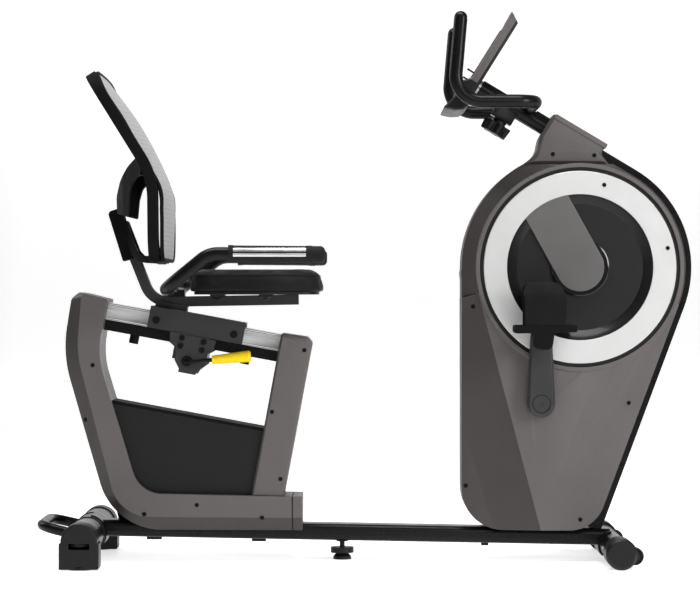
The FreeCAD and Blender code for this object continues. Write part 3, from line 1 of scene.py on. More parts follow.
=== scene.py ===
"""Recumbent exercise bike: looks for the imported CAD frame. Metres, +X the way the rider faces, +Z up."""
import json
import math

import bpy
import bmesh
from mathutils import Matrix, Vector
from mathutils.bvhtree import BVHTree


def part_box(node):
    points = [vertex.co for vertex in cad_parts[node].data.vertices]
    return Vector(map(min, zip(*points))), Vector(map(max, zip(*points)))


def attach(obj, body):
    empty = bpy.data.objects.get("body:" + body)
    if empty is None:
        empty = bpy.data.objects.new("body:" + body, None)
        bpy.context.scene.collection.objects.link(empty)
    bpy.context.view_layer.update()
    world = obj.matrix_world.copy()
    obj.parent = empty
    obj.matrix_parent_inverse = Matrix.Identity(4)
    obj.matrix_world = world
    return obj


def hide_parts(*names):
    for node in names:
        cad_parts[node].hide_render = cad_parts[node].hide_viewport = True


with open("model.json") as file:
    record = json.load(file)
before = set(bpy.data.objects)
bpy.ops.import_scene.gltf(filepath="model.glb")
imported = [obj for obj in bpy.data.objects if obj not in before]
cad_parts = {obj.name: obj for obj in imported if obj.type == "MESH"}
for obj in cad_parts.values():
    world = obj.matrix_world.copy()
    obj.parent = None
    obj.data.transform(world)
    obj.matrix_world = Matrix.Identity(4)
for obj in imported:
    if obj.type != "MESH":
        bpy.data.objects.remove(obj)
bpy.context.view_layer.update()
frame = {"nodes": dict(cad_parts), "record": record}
RIGHT, LEFT = -1, 1                     # the rider's right side is -Y
MM = 0.001
RAIL_TILT = math.radians(10.5)          # how far the seat rail falls towards the front


# ---------------------------------------------------------------- materials
class Shader:
    """A material under construction: adds nodes, links them and feeds a Principled BSDF."""

    def __init__(self, name, color, rough, **sockets):
        self.mat = bpy.data.materials.new(name)
        self.mat.use_nodes = True
        self.tree = self.mat.node_tree
        self.bsdf = self.tree.nodes["Principled BSDF"]
        self.color, self.rough = color, rough
        self.coord = self.add("ShaderNodeTexCoord").outputs["Object"]
        self.height = None
        self.bsdf.inputs["Roughness"].default_value = rough
        for key, value in sockets.items():
            self.bsdf.inputs[key.replace("_", " ")].default_value = value

    def add(self, kind, settings=(), **inputs):
        node = self.tree.nodes.new(kind)
        for key, value in dict(settings).items():
            setattr(node, key, value)
        for key, value in inputs.items():
            self.put(node.inputs[key.replace("_", " ")], value)
        return node

    def put(self, socket, value):
        if hasattr(value, "is_output"):
            self.tree.links.new(value, socket)
        else:
            socket.default_value = value

    def math(self, operation, a, b=0.0):
        node = self.add("ShaderNodeMath", {"operation": operation})
        self.put(node.inputs[0], a)
        self.put(node.inputs[1], b)
        return node.outputs[0]

    def scaled(self, factors, turn=(0, 0, 0)):
        """Object coordinates turned and stretched, for directional grain."""
        return self.add("ShaderNodeMapping", Vector=self.coord, Scale=factors, Rotation=turn).outputs[0]

    def noise(self, scale, detail=2.0, coord=None, rough=0.5):
        node = self.add("ShaderNodeTexNoise", Vector=coord or self.coord, Scale=scale, Detail=detail,
                        Roughness=rough)
        return node.outputs["Fac"]

    def cells(self, scale, feature="F1", coord=None):
        node = self.add("ShaderNodeTexVoronoi", {"feature": feature}, Vector=coord or self.coord, Scale=scale)
        return node.outputs["Distance"]

    def span(self, value, low, high, to_low=0.0, to_high=1.0):
        node = self.add("ShaderNodeMapRange", {"clamp": True}, Value=value, From_Min=low, From_Max=high,
                        To_Min=to_low, To_Max=to_high)
        return node.outputs["Result"]

    def mix(self, factor, a, b):
        node = self.add("ShaderNodeMix", {"data_type": "RGBA"})
        self.put(node.inputs["Factor"], factor)
        for socket, value in ((node.inputs[6], a), (node.inputs[7], b)):
            self.put(socket, value if hasattr(value, "is_output") else (*value[:3], 1.0))
        return node.outputs[2]

    def shade(self, k):
        return tuple(min(1.0, c * k) for c in self.color)

    def tint(self, amount, scale=7.0, fine=160.0):
        """Slow drift of the colour with a finer speckle on it."""
        slow = self.span(self.noise(scale, 3.0), 0.3, 0.7)
        speck = self.span(self.noise(fine, 2.0), 0.3, 0.7)
        both = self.math("ADD", self.math("MULTIPLY", slow, 0.6), self.math("MULTIPLY", speck, 0.4))
        self.put(self.bsdf.inputs["Base Color"],
                 self.mix(both, self.shade(1 - amount), self.shade(1 + amount)))

    def smudge(self, amount, scale=24.0):
        """Uneven gloss, as handling and dust leave it."""
        patch = self.noise(scale, 4.0, rough=0.6)
        self.put(self.bsdf.inputs["Roughness"],
                 self.span(patch, 0.3, 0.72, max(0.02, self.rough - amount), self.rough + amount))

    def bump(self, height, strength, distance):
        """Adds a layer of relief; layers stack."""
        node = self.add("ShaderNodeBump", Height=height, Strength=strength, Distance=distance)
        if self.height is not None:
            self.put(node.inputs["Normal"], self.height)
        self.height = node.outputs["Normal"]
        self.put(self.bsdf.inputs["Normal"], self.height)


def powder_paint(name, color, rough, gloss):
    """Satin powder coat: fine orange peel and faint scuffs."""
    s = Shader(name, color, rough, Specular_IOR_Level=gloss, Coat_Weight=0.06, Coat_Roughness=0.3)
    s.tint(0.14)
    s.smudge(0.07)
    s.bump(s.noise(900.0, 1.0), 0.16, 0.0006)
    scuff = s.cells(60.0, "DISTANCE_TO_EDGE", s.scaled((1.0, 3.0, 0.4), (0.3, 0.5, 0.2)))
    s.bump(s.span(scuff, 0.0, 0.01), 0.03, 0.0003)
    return s.mat


def moulded(name, color, rough, grain, depth, amount=0.09, gloss=0.5):
    """Injection-moulded plastic with a spark-eroded texture."""
    s = Shader(name, color, rough, Specular_IOR_Level=gloss)
    s.tint(amount)
    s.smudge(0.06)
    s.bump(s.cells(grain), depth, 0.0004)
    s.bump(s.noise(35.0, 2.0), 0.05, 0.0012)
    return s.mat


def glossy(name, color, rough):
    """Polished moulding, slightly wavy, with a little dust."""
    s = Shader(name, color, rough, Specular_IOR_Level=0.3, Coat_Weight=0.2, Coat_Roughness=0.04)
    s.tint(0.2)
    dust = s.span(s.noise(420.0, 3.0), 0.62, 0.8)
    s.put(s.bsdf.inputs["Roughness"], s.span(dust, 0.0, 1.0, rough, rough + 0.25))
    s.bump(s.noise(18.0, 1.0), 0.02, 0.002)
    return s.mat


def painted_silver(name, color):
    """Silver lacquer with fine flake."""
    s = Shader(name, color, 0.34, Metallic=0.25, Coat_Weight=0.35, Coat_Roughness=0.12)
    flake = s.cells(2600.0)
    s.put(s.bsdf.inputs["Base Color"], s.mix(s.span(flake, 0.1, 0.7), s.shade(1.06), s.shade(0.9)))
    s.smudge(0.05)
    s.bump(flake, 0.05, 0.0002)
    return s.mat


def brushed(name, color, rough, along, turn=(0, 0, 0), metallic=1.0):
    """Drawn or brushed metal: hairlines run along one axis."""
    s = Shader(name, color, rough, Metallic=metallic)
    lines = s.noise(900.0, 3.0, s.scaled(along, turn), 0.7)
    s.put(s.bsdf.inputs["Base Color"], s.mix(s.span(lines, 0.3, 0.7), s.shade(0.86), s.shade(1.08)))
    s.put(s.bsdf.inputs["Roughness"], s.span(lines, 0.3, 0.7, rough - 0.07, rough + 0.1))
    s.bump(lines, 0.12, 0.0003)
    return s.mat


def rubber(name, color, rough, grain, depth):
    """Matt rubber with a fine uneven skin."""
    s = Shader(name, color, rough, Specular_IOR_Level=0.12, Sheen_Weight=0.02, Sheen_Roughness=0.5)
    s.tint(0.16)
    s.smudge(0.08)
    s.bump(s.noise(grain, 3.0, rough=0.7), depth, 0.0005)
    return s.mat


def vinyl(name, color):
    """Upholstery vinyl: pebbled grain and soft wrinkles."""
    s = Shader(name, color, 0.5, Specular_IOR_Level=0.14)
    s.tint(0.22, 9.0, 240.0)
    s.smudge(0.1, 16.0)
    pebble = s.cells(620.0, "DISTANCE_TO_EDGE")
    s.bump(s.span(pebble, 0.0, 0.28), 0.42, 0.0007)
    s.bump(s.noise(70.0, 4.0, s.scaled((1.0, 0.45, 1.0)), 0.6), 0.16, 0.002)
    return s.mat


def cast(name, color):
    """Sand-cast metal with a coarse skin."""
    s = Shader(name, color, 0.5, Metallic=0.8)
    s.tint(0.25, 12.0)
    s.smudge(0.12)
    s.bump(s.noise(240.0, 4.0, rough=0.7), 0.4, 0.0009)
    return s.mat


KNIT_ROW = 0.011                        # spacing of the dark rows in the mesh


def mesh_cloth(name, color):
    """Knitted mesh: fine cells, lighter threads over darker gaps, and darker rows across."""
    s = Shader(name, color, 0.78, Specular_IOR_Level=0.3, Sheen_Weight=0.4, Sheen_Roughness=0.45)
    hole = s.cells(330.0, "F1", s.scaled((1.0, 1.0, 1.35)))
    open_part = s.span(hole, 0.24, 0.42, 1.0, 0.0)
    thread = s.noise(1400.0, 2.0)
    height = s.add("ShaderNodeSeparateXYZ", Vector=s.coord).outputs["Z"]
    rows = s.span(s.math("SINE", s.math("MULTIPLY", height, 2 * math.pi / KNIT_ROW)), 0.8, 1.0)
    base = s.mix(s.span(thread, 0.3, 0.7), s.shade(0.88), s.shade(1.1))
    base = s.mix(rows, base, s.shade(0.55))
    s.put(s.bsdf.inputs["Base Color"], s.mix(open_part, base, s.shade(0.3)))
    s.bump(hole, 0.55, 0.0008)
    return s.mat


def grip_foam(name, color):
    """Closed-cell foam with a pitted surface."""
    s = Shader(name, color, 0.62, Specular_IOR_Level=0.16, Sheen_Weight=0.03, Sheen_Roughness=0.5)
    s.tint(0.2, 20.0, 500.0)
    s.smudge(0.08)
    s.bump(s.cells(1300.0), 0.4, 0.0006)
    return s.mat


def satin_metal(name, color, rough):
    """Smooth plated metal with faint handling marks."""
    s = Shader(name, color, rough, Metallic=1.0)
    s.tint(0.05, 30.0, 400.0)
    s.smudge(0.06, 60.0)
    s.bump(s.noise(50.0, 2.0), 0.03, 0.0008)
    return s.mat


def screen_glass(name, color):
    """Unlit display: near black and cloudy below clear glass."""
    s = Shader(name, color, 0.08, Specular_IOR_Level=0.6, Coat_Weight=1.0, Coat_Roughness=0.02)
    s.tint(0.25, 14.0, 600.0)
    s.put(s.bsdf.inputs["Roughness"], s.span(s.noise(90.0, 4.0), 0.4, 0.8, 0.06, 0.2))
    s.bump(s.noise(12.0, 1.0), 0.01, 0.001)
    return s.mat


MATERIALS = {
    "black_paint": powder_paint("black_paint", (0.004, 0.004, 0.0042), 0.3, 0.15),
    "plate_paint": powder_paint("plate_paint", (0.024, 0.024, 0.0255), 0.44, 0.4),
    "taupe_plastic": moulded("taupe_plastic", (0.103, 0.093, 0.0905), 0.42, 1300.0, 0.2, gloss=0.4),
    # Darker copy of taupe_plastic for the sloping cover faces: painted shade, not a second plastic.
    "taupe_painted_shade": moulded("taupe_painted_shade", (0.042, 0.0365, 0.0345), 0.46, 1300.0, 0.2, gloss=0.35),
    "black_plastic": moulded("black_plastic", (0.006, 0.006, 0.0063), 0.42, 1500.0, 0.25, 0.15, 0.26),
    "matte_black": moulded("matte_black", (0.005, 0.005, 0.0052), 0.62, 1500.0, 0.25, 0.15, 0.08),
    "dark_panel": moulded("dark_panel", (0.009, 0.009, 0.0094), 0.5, 1100.0, 0.3, 0.15, 0.22),
    "gloss_black": glossy("gloss_black", (0.005, 0.005, 0.0055), 0.2),
    "disc_matte": moulded("disc_matte", (0.009, 0.009, 0.0094), 0.55, 900.0, 0.3, 0.12, 0.24),
    "silver_plastic": painted_silver("silver_plastic", (0.68, 0.68, 0.675)),
    "spoke_silver": painted_silver("spoke_silver", (0.13, 0.124, 0.122)),
    "aluminium": brushed("aluminium", (0.9, 0.9, 0.905), 0.33, (0.35, 14.0, 14.0),
                         (0, -RAIL_TILT, 0), metallic=0.3),
    "rubber": rubber("rubber", (0.006, 0.006, 0.006), 0.72, 1100.0, 0.3),
    "grip_foam": grip_foam("grip_foam", (0.008, 0.008, 0.0084)),
    "yellow_rubber": rubber("yellow_rubber", (0.95, 0.63, 0.01), 0.5, 900.0, 0.12),
    "vinyl": vinyl("vinyl", (0.006, 0.006, 0.0064)),
    "mesh": mesh_cloth("mesh", (0.27, 0.27, 0.275)),
    "steel": brushed("steel", (0.56, 0.56, 0.57), 0.3, (9.0, 1.0, 9.0)),
    "chrome": satin_metal("chrome", (0.8, 0.8, 0.81), 0.32),
    "iron": cast("iron", (0.14, 0.14, 0.145)),
    "screen": screen_glass("screen", (0.012, 0.013, 0.015)),
    "segments": moulded("segments", (0.2, 0.23, 0.2), 0.4, 2200.0, 0.1),
}

SLOT_OF = {part["node"]: part["material_slot"] for part in frame["record"]["subparts"]}


def dress(obj, material):
    """Gives an object one material."""
    obj.data.materials.clear()
    obj.data.materials.append(MATERIALS[material])


for node_name, node in frame["nodes"].items():
    dress(node, SLOT_OF[node_name])

BODY_OF = {part: body for body, parts in frame["record"]["behaviour"]["bodies"].items() for part in parts}


# ---------------------------------------------------------------- refined CAD shapes
def link(obj, body, material):
    """Puts a new piece on its body with its finish."""
    bpy.context.collection.objects.link(obj)
    dress(obj, material)
    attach(obj, body)
    return obj


EDGE_ANGLE = 30.0                       # an edge is rounded where its faces differ by more degrees


def from_bmesh(name, bm, sharp=35.0):
    """Object from a bmesh, shaded smooth with creases kept above an angle."""
    mesh = bpy.data.meshes.new(name)
    bmesh.ops.recalc_face_normals(bm, faces=bm.faces)
    bm.to_mesh(mesh)
    bm.free()
    mesh.polygons.foreach_set("use_smooth", [True] * len(mesh.polygons))
    mesh.set_sharp_from_angle(angle=math.radians(sharp))
    return bpy.data.objects.new(name, mesh)


def soften(obj, width, segments=2):
    """Rounded edges."""
    mod = obj.modifiers.new("edges", "BEVEL")
    mod.width, mod.segments, mod.angle_limit = width, segments, math.radians(EDGE_ANGLE)
    mod.limit_method, mod.use_clamp_overlap, mod.harden_normals = "ANGLE", False, True
    mod.miter_outer = "MITER_ARC"
    return obj


def node_shape(node):
    """A CAD node's shape with its flat faces merged."""
    bm = bmesh.new()
    bm.from_mesh(frame["nodes"][node].data)
    bmesh.ops.remove_doubles(bm, verts=bm.verts, dist=2e-5)
    bmesh.ops.dissolve_limit(bm, angle_limit=math.radians(0.08), verts=bm.verts, edges=bm.edges)
    return bm


def cut_plane(bm, point, way, slack=0.0):
    """Splits every face that a plane crosses by more than the slack."""
    geom = bm.verts[:] + bm.edges[:] + bm.faces[:]
    bmesh.ops.bisect_plane(bm, geom=geom, plane_co=point, plane_no=way, dist=slack)


def cut_groove(bm, point, way):
    """A narrow channel where a plane meets the surface, as at the seam of two mouldings."""
    for side in (-0.5, 0.5):
        cut_plane(bm, point + way * GROOVE_GAP * side, way, 1e-6)
    strip = [f for f in bm.faces if abs((f.calc_center_median() - point).dot(way)) < GROOVE_GAP * 0.45]
    bmesh.ops.inset_region(bm, faces=strip, thickness=0.0, depth=-GROOVE_DEPTH)


def refine(node, radius):
    """A CAD node's shape rebuilt with rounded edges, its seam and its finish; on the covers, painted shade on the
    sloping faces.
    """
    bm = node_shape(node)
    if node.startswith("rear_shroud"):
        cut_groove(bm, SHROUD_SEAM, Vector((1, 0, 0)))
    obj = soften(from_bmesh(node + "_skin", bm, EDGE_ANGLE), radius * MM)
    link(obj, BODY_OF[node], FINISH.get(node, SLOT_OF[node]))
    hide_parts(node)
    # Painted shade: the sloping faces of the covers take a darker copy of the taupe. On the shrouds these are the
    # faces that face neither forward nor up.
    if node in PAINTED_SHADE_HALF:
        obj.data.materials.append(MATERIALS["taupe_painted_shade"])
        for face in obj.data.polygons:
            outer = face.normal.x < 0.05 and face.normal.z < 0.4 or node.startswith("housing")
            if outer and abs(face.center.y) < PAINTED_SHADE_HALF[node] - 0.4 * MM:
                face.material_index = 1


# Finishes that differ from the slot's own.
FINISH = {"carriage_bolts": "black_paint", "backrest_yoke": "matte_black", "backrest_frame": "matte_black",
          "pedal_right": "matte_black", "pedal_left": "matte_black", "cover_screws": "matte_black",
          "crank_arm_right": "plate_paint", "crank_arm_left": "plate_paint"}
# Half width of each cover; its sloping faces, nearer to Y = 0 than that, get a darker taupe: painted shade for
# the light that falls less on them.
PAINTED_SHADE_HALF = {f"{cover}_{side}": half for cover, half in (("housing", 0.085), ("rear_shroud", 0.088))
            for side in ("right", "left")}
GROOVE_GAP, GROOVE_DEPTH = 1.4 * MM, 1.2 * MM
SHROUD_SEAM = Vector((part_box("rear_shroud_right")[1].x - 0.024, 0, 0))
# Edge radius of each refined node in millimetres.
EDGE_RADII = {
    "housing_right": 1.6, "housing_left": 1.6, "neck_covers": 1.4,
    "rear_shroud_right": 1.6, "rear_shroud_left": 1.6, "post_covers": 1.4, "infill_panel": 1.0,
    "carriage_bracket": 0.8, "seat_beam": 1.2, "crank_arm_right": 0.9, "crank_arm_left": 0.9,
    "pedal_right": 1.4, "pedal_left": 1.4, "pedal_strap_right": 1.2, "pedal_strap_left": 1.2,
    "rear_feet": 1.4, "front_end_caps": 1.2, "clamp_knob": 1.2, "backrest_frame": 2.2,
    "backrest_yoke": 2.0, "seat_pan": 1.4, "lever_grip": 1.2, "front_frame": 1.2, "mast": 1.0,
    "handlebar": 0.8, "seat_frame": 0.8, "seat_rail": 0.6, "rail_stops": 1.2, "lock_lever": 0.8,
    "lock_shoe": 0.8, "carriage_bolts": 0.8, "cover_screws": 0.5, "rear_stabilizer": 0.8,
    "front_stabilizer": 0.8, "centre_leveller": 1.0, "leveller_right": 0.5, "leveller_left": 0.5,
    "transport_wheel_right": 1.0, "transport_wheel_left": 1.0, "seat_handle": 0.6,
    "console_screen": 0.4,
}
for node_name, radius in EDGE_RADII.items():
    refine(node_name, radius)


# ---------------------------------------------------------------- new shapes
def middle(node):
    """Centre of a node's box."""
    low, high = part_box(node)
    return (Vector(low) + Vector(high)) / 2


def plate(name, points, y0, y1):
    """Solid with an outline in X and Z and a thickness along Y."""
    bm = bmesh.new()
    near, far = [[bm.verts.new((x, y, z)) for x, z in points] for y in (y0, y1)]
    bm.faces.new(near)
    bm.faces.new(far)
    for i in range(len(points)):
        j = (i + 1) % len(points)
        bm.faces.new((near[i], near[j], far[j], far[i]))
    return from_bmesh(name, bm)


def lathe(name, profile, centre, steps=192):
    """Ring about an axis along Y; profile is a closed run of (radius, y)."""
    bm = bmesh.new()
    rows = []
    for i in range(steps):
        c, s = math.cos(2 * math.pi * i / steps), math.sin(2 * math.pi * i / steps)
        rows.append([bm.verts.new((centre.x + r * c, y, centre.z + r * s)) for r, y in profile])
    for i, row in enumerate(rows):
        after = rows[(i + 1) % steps]
        for k in range(len(profile)):
            m = (k + 1) % len(profile)
            bm.faces.new((row[k], row[m], after[m], after[k]))
    return from_bmesh(name, bm, 20.0)


def wire(name, points, radius, closed=False):
    """Round cord of mesh along a smooth line through the points."""
    curve = bpy.data.curves.new(name + "_path", "CURVE")
    curve.dimensions, curve.bevel_depth, curve.bevel_resolution = "3D", radius, 3
    curve.use_fill_caps = True
    spline = curve.splines.new("POLY")
    spline.points.add(len(points) - 1)
    for point, place in zip(spline.points, points):
        point.co = (*place, 1.0)
    spline.use_cyclic_u = closed
    holder = bpy.data.objects.new(name + "_path", curve)
    mesh = bpy.data.meshes.new_from_object(holder)
    bpy.data.objects.remove(holder)
    mesh.name = name
    mesh.polygons.foreach_set("use_smooth", [True] * len(mesh.polygons))
    mesh.materials.clear()
    return bpy.data.objects.new(name, mesh)


def side_name(side):
    return "right" if side == RIGHT else "left"


# ---------------------------------------------------------------- round cover
SPOKE_HALF, SPOKE_ANGLE = 0.058, math.radians(119)
RING_WIDTH, BEVEL_WIDTH, HUB_WIDTH, LIFT = 0.056, 0.024, 0.012, 0.0006
DISC_BACK, DISC_FACE, DISC_HOLE = 0.0852, 0.088, 0.03
ROUND_STEPS, END_STEPS = 48, 16


def spoke_outline(hub, reach):
    """Half round about the hub, running out to an arc of the given reach; (x, z) points."""
    along = Vector((math.cos(SPOKE_ANGLE), 0, math.sin(SPOKE_ANGLE)))
    across = Vector((-along.z, 0, along.x))
    points = []
    for i in range(ROUND_STEPS + 1):
        a = math.pi * (i / ROUND_STEPS - 0.5)
        points.append(hub + (across * math.sin(a) - along * math.cos(a)) * SPOKE_HALF)
    end = math.asin(SPOKE_HALF / reach)
    for i in range(END_STEPS + 1):
        a = end * (1 - 2 * i / END_STEPS)
        points.append(hub + (across * math.sin(a) + along * math.cos(a)) * reach)
    return [(point.x, point.z) for point in points]


def round_cover(side):
    """Dark disc with a sloping gloss ring and hub ring, a silver ring and a spoke that runs into it."""
    hub = middle("flywheel")
    disc_r, ring_r = [(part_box(node)[1].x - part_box(node)[0].x) / 2 for node in ("disc_covers", "accent_rings")]
    ring_in = ring_r - RING_WIDTH
    hub_in, hub_out = SPOKE_HALF, SPOKE_HALF + HUB_WIDTH
    face, base, back = [side * y for y in (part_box("accent_rings")[1].y, DISC_FACE, DISC_BACK)]
    tag, mm = side_name(side), side * MM
    # Each ring is turned from a closed run of (radius, y).
    rings = [
        ("disc_plate_", "disc_matte", "disc_covers",
         [(DISC_HOLE, back), (DISC_HOLE, base), (disc_r - 0.001, base), (disc_r, back)]),
        ("disc_bevel_", "gloss_black", "disc_covers",
         [(ring_in - BEVEL_WIDTH, base - mm), (ring_in - BEVEL_WIDTH, base + 0.4 * mm),
          (ring_in - 0.003, face - 0.6 * mm), (ring_in - 0.0005, face - 0.6 * mm),
          (ring_in - 0.0005, base - mm)]),
        ("disc_hub_", "gloss_black", "disc_covers",
         [(hub_in - 0.001, base - mm), (hub_in - 0.001, face - 0.6 * mm),
          (hub_in + 0.002, face - 0.2 * mm), (hub_out - 0.003, face - 0.2 * mm),
          (hub_out, face - 1.4 * mm), (hub_out, base - mm)]),
        ("silver_ring_", "silver_plastic", "accent_rings",
         [(ring_in, base), (ring_in, face - 0.8 * mm), (ring_in + 0.0008, face),
          (ring_r - 0.0016, face), (ring_r, face - 1.6 * mm), (ring_r, base)]),
    ]
    pieces = [(lathe(name + tag, profile, hub), material, node) for name, material, node, profile in rings]
    outline = spoke_outline(hub, ring_in - 0.0004)
    spoke = soften(plate("spoke_" + tag, outline, base, face + side * LIFT), 0.8 * MM)
    pieces.append((spoke, "spoke_silver", "accent_rings"))
    for obj, material, node in pieces:
        link(obj, BODY_OF[node], material)
        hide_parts(node)


for cover_side in (RIGHT, LEFT):
    round_cover(cover_side)


# ---------------------------------------------------------------- seat cushion
SWELL_STEPS, SMOOTH_PASSES = 20, 5


def swell(piece, held, voxel, pressure, cap):
    """Inflates a piece as a fabric bag; points that held() picks stay put and none moves more than cap."""
    bpy.context.view_layer.objects.active = piece
    remesh = piece.modifiers.new("even", "REMESH")
    remesh.mode, remesh.voxel_size = "VOXEL", voxel
    bpy.ops.object.modifier_apply(modifier=remesh.name)
    group = piece.vertex_groups.new(name="held")
    group.add([v.index for v in piece.data.vertices if held(v.co)], 1.0, "REPLACE")
    start = [v.co.copy() for v in piece.data.vertices]
    cloth = piece.modifiers.new("cloth", "CLOTH")
    cloth.settings.use_pressure, cloth.settings.uniform_pressure_force = True, pressure
    cloth.settings.effector_weights.gravity = 0
    cloth.settings.vertex_group_mass = group.name
    cloth.settings.tension_stiffness = cloth.settings.compression_stiffness = 40
    cloth.settings.bending_stiffness = 8
    for step in range(1, SWELL_STEPS + 1):
        bpy.context.scene.frame_set(step)
    ready = piece.evaluated_get(bpy.context.evaluated_depsgraph_get()).data
    moves = [v.co - place for v, place in zip(ready.vertices, start)]
    piece.modifiers.remove(cloth)
    for v, place, move in zip(piece.data.vertices, start, moves):
        v.co = place + move * min(1.0, cap / max(move.length, 1e-9))
    bpy.context.scene.frame_set(1)
    bm = bmesh.new()
    bm.from_mesh(piece.data)
    free = [v for v in bm.verts if not held(v.co)]
    for _ in range(SMOOTH_PASSES):
        bmesh.ops.smooth_vert(bm, verts=free, factor=0.5, use_axis_x=True, use_axis_y=True, use_axis_z=True)
    bm.to_mesh(piece.data)
    bm.free()


def belt_line(piece, height, centre, count=180):
    """Closed line where a level plane meets the outside of a piece."""
    tree = BVHTree.FromObject(piece, bpy.context.evaluated_depsgraph_get())
    line = []
    for i in range(count):
        turn = 2 * math.pi * i / count
        way = Vector((math.cos(turn), math.sin(turn), 0))
        hit = tree.ray_cast(Vector((centre.x, centre.y, height)) + way, -way)[0]
        if hit:
            line.append(hit)
    return line


# The cushion starts a little smaller than its CAD box, to leave room for swelling.
SHRINK_X, SHRINK_Y, SHRINK_TOP = 0.988, 0.99, 0.003
# Stitched line around the top (its place as a share of the half size), and the hollow inside it.
SEAM_AT, SEAM_DEPTH, SEAM_WIDTH, DISH = 0.78, 0.0035, 0.0035, 0.005
CORD_DROP, CORD_R = 0.0125, 0.0019


def seat_cushion():
    """Vinyl cushion swollen from the CAD block, with a stitched line on top and a piped edge."""
    low, high = [Vector(v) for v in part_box("seat_cushion")]
    centre, half = (low + high) / 2, (high - low) / 2
    bm = node_shape("seat_cushion")
    for v in bm.verts:
        rise = (v.co.z - low.z) / (high.z - low.z)
        v.co.x = centre.x + (v.co.x - centre.x) * SHRINK_X
        v.co.y = centre.y + (v.co.y - centre.y) * SHRINK_Y
        v.co.z = low.z + rise * (high.z - low.z - SHRINK_TOP)
    piece = link(from_bmesh("cushion", bm), BODY_OF["seat_cushion"], "vinyl")
    swell(piece, held=lambda co: co.z < low.z + 0.006, voxel=0.0055, pressure=4.0, cap=0.006)
    for v in piece.data.vertices:
        u, w = (v.co.x - centre.x) / half.x, (v.co.y - centre.y) / half.y
        out = (abs(u) ** 4 + abs(w) ** 4) ** 0.25
        top = max(0.0, min(1.0, (v.co.z - centre.z) / half.z * 2.5))
        groove = math.exp(-((out - SEAM_AT) * half.x / SEAM_WIDTH) ** 2)
        v.co.z -= top * (groove * SEAM_DEPTH + max(0.0, 1 - out / SEAM_AT) ** 0.7 * DISH)
    piece.data.polygons.foreach_set("use_smooth", [True] * len(piece.data.polygons))
    sub = piece.modifiers.new("smooth", "SUBSURF")
    sub.levels = sub.render_levels = 1
    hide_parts("seat_cushion")
    bpy.context.view_layer.update()
    cord = wire("cushion_piping", belt_line(piece, high.z - CORD_DROP, centre), CORD_R, closed=True)
    link(cord, BODY_OF["seat_cushion"], "vinyl")


seat_cushion()


# ---------------------------------------------------------------- backrest mesh
def through(points, t):
    """Point at t from 0 to 1 on a smooth line through the points."""
    place = t * (len(points) - 1)
    i = min(int(place), len(points) - 2)
    f = place - i
    last = len(points) - 1
    a, b, c, d = [Vector(points[max(0, min(last, i + k))]) for k in (-1, 0, 1, 2)]
    return 0.5 * (2 * b + (c - a) * f + (2 * a - 5 * b + 4 * c - d) * f * f
                  + (3 * b - a - 3 * c + d) * f ** 3)


# Side outline of the stretched mesh, bottom to top: height, X at its side edges, X in the middle.
MESH_LINE = [(0.728, -0.483, -0.4805), (0.78, -0.482, -0.473), (0.84, -0.4825, -0.4695),
             (0.898, -0.487, -0.4745), (0.97, -0.5265, -0.503), (1.055, -0.572, -0.549),
             (1.12, -0.614, -0.595), (1.173, -0.64, -0.6375)]
MESH_EDGE = [(x, z) for z, x, _ in MESH_LINE]
MESH_MIDDLE = [(x, z) for z, _, x in MESH_LINE]
MESH_CORNER, MESH_SIDE_GAP, MESH_THICK, PIPING_R = 0.07, 0.006, 0.0016, 0.0046
MESH_ROWS, MESH_COLUMNS = 84, 72


def line_length(points):
    return sum((Vector(b) - Vector(a)).length for a, b in zip(points, points[1:]))


def backrest_mesh():
    """Sheet stretched over the backrest frame, with round corners, a bulge and a piped edge."""
    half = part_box("backrest_mesh")[1][1] - MESH_SIDE_GAP
    body, slot = BODY_OF["backrest_mesh"], SLOT_OF["backrest_mesh"]
    height = line_length(MESH_EDGE)
    bm, grid, area = bmesh.new(), [], 0.0
    for i in range(MESH_ROWS + 1):
        t = i / MESH_ROWS
        inset = max(0.0, MESH_CORNER - min(t, 1 - t) * height)
        width = half - MESH_CORNER + math.sqrt(MESH_CORNER ** 2 - inset ** 2)
        edge, mid = through(MESH_EDGE, t), through(MESH_MIDDLE, t)
        row = []
        for j in range(MESH_COLUMNS + 1):
            y = width * (2 * j / MESH_COLUMNS - 1)
            x, z = edge.lerp(mid, 1 - (y / half) ** 2)
            row.append(bm.verts.new((x, y, z)))
        grid.append(row)
    for low, high in zip(grid, grid[1:]):
        for j in range(MESH_COLUMNS):
            area += bm.faces.new((low[j], low[j + 1], high[j + 1], high[j])).calc_area()
    rim = [v.co.copy() for v in grid[0]] + [row[-1].co.copy() for row in grid[1:-1]]
    rim += [v.co.copy() for v in reversed(grid[-1])] + [row[0].co.copy() for row in reversed(grid[1:-1])]
    piece = link(from_bmesh("backrest_cloth", bm, 80.0), body, "mesh")
    solid = piece.modifiers.new("thickness", "SOLIDIFY")
    solid.thickness, solid.offset = MESH_THICK, 0.0
    piping = link(wire("backrest_piping", rim, PIPING_R, closed=True), body, "matte_black")
    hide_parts("backrest_mesh")


backrest_mesh()


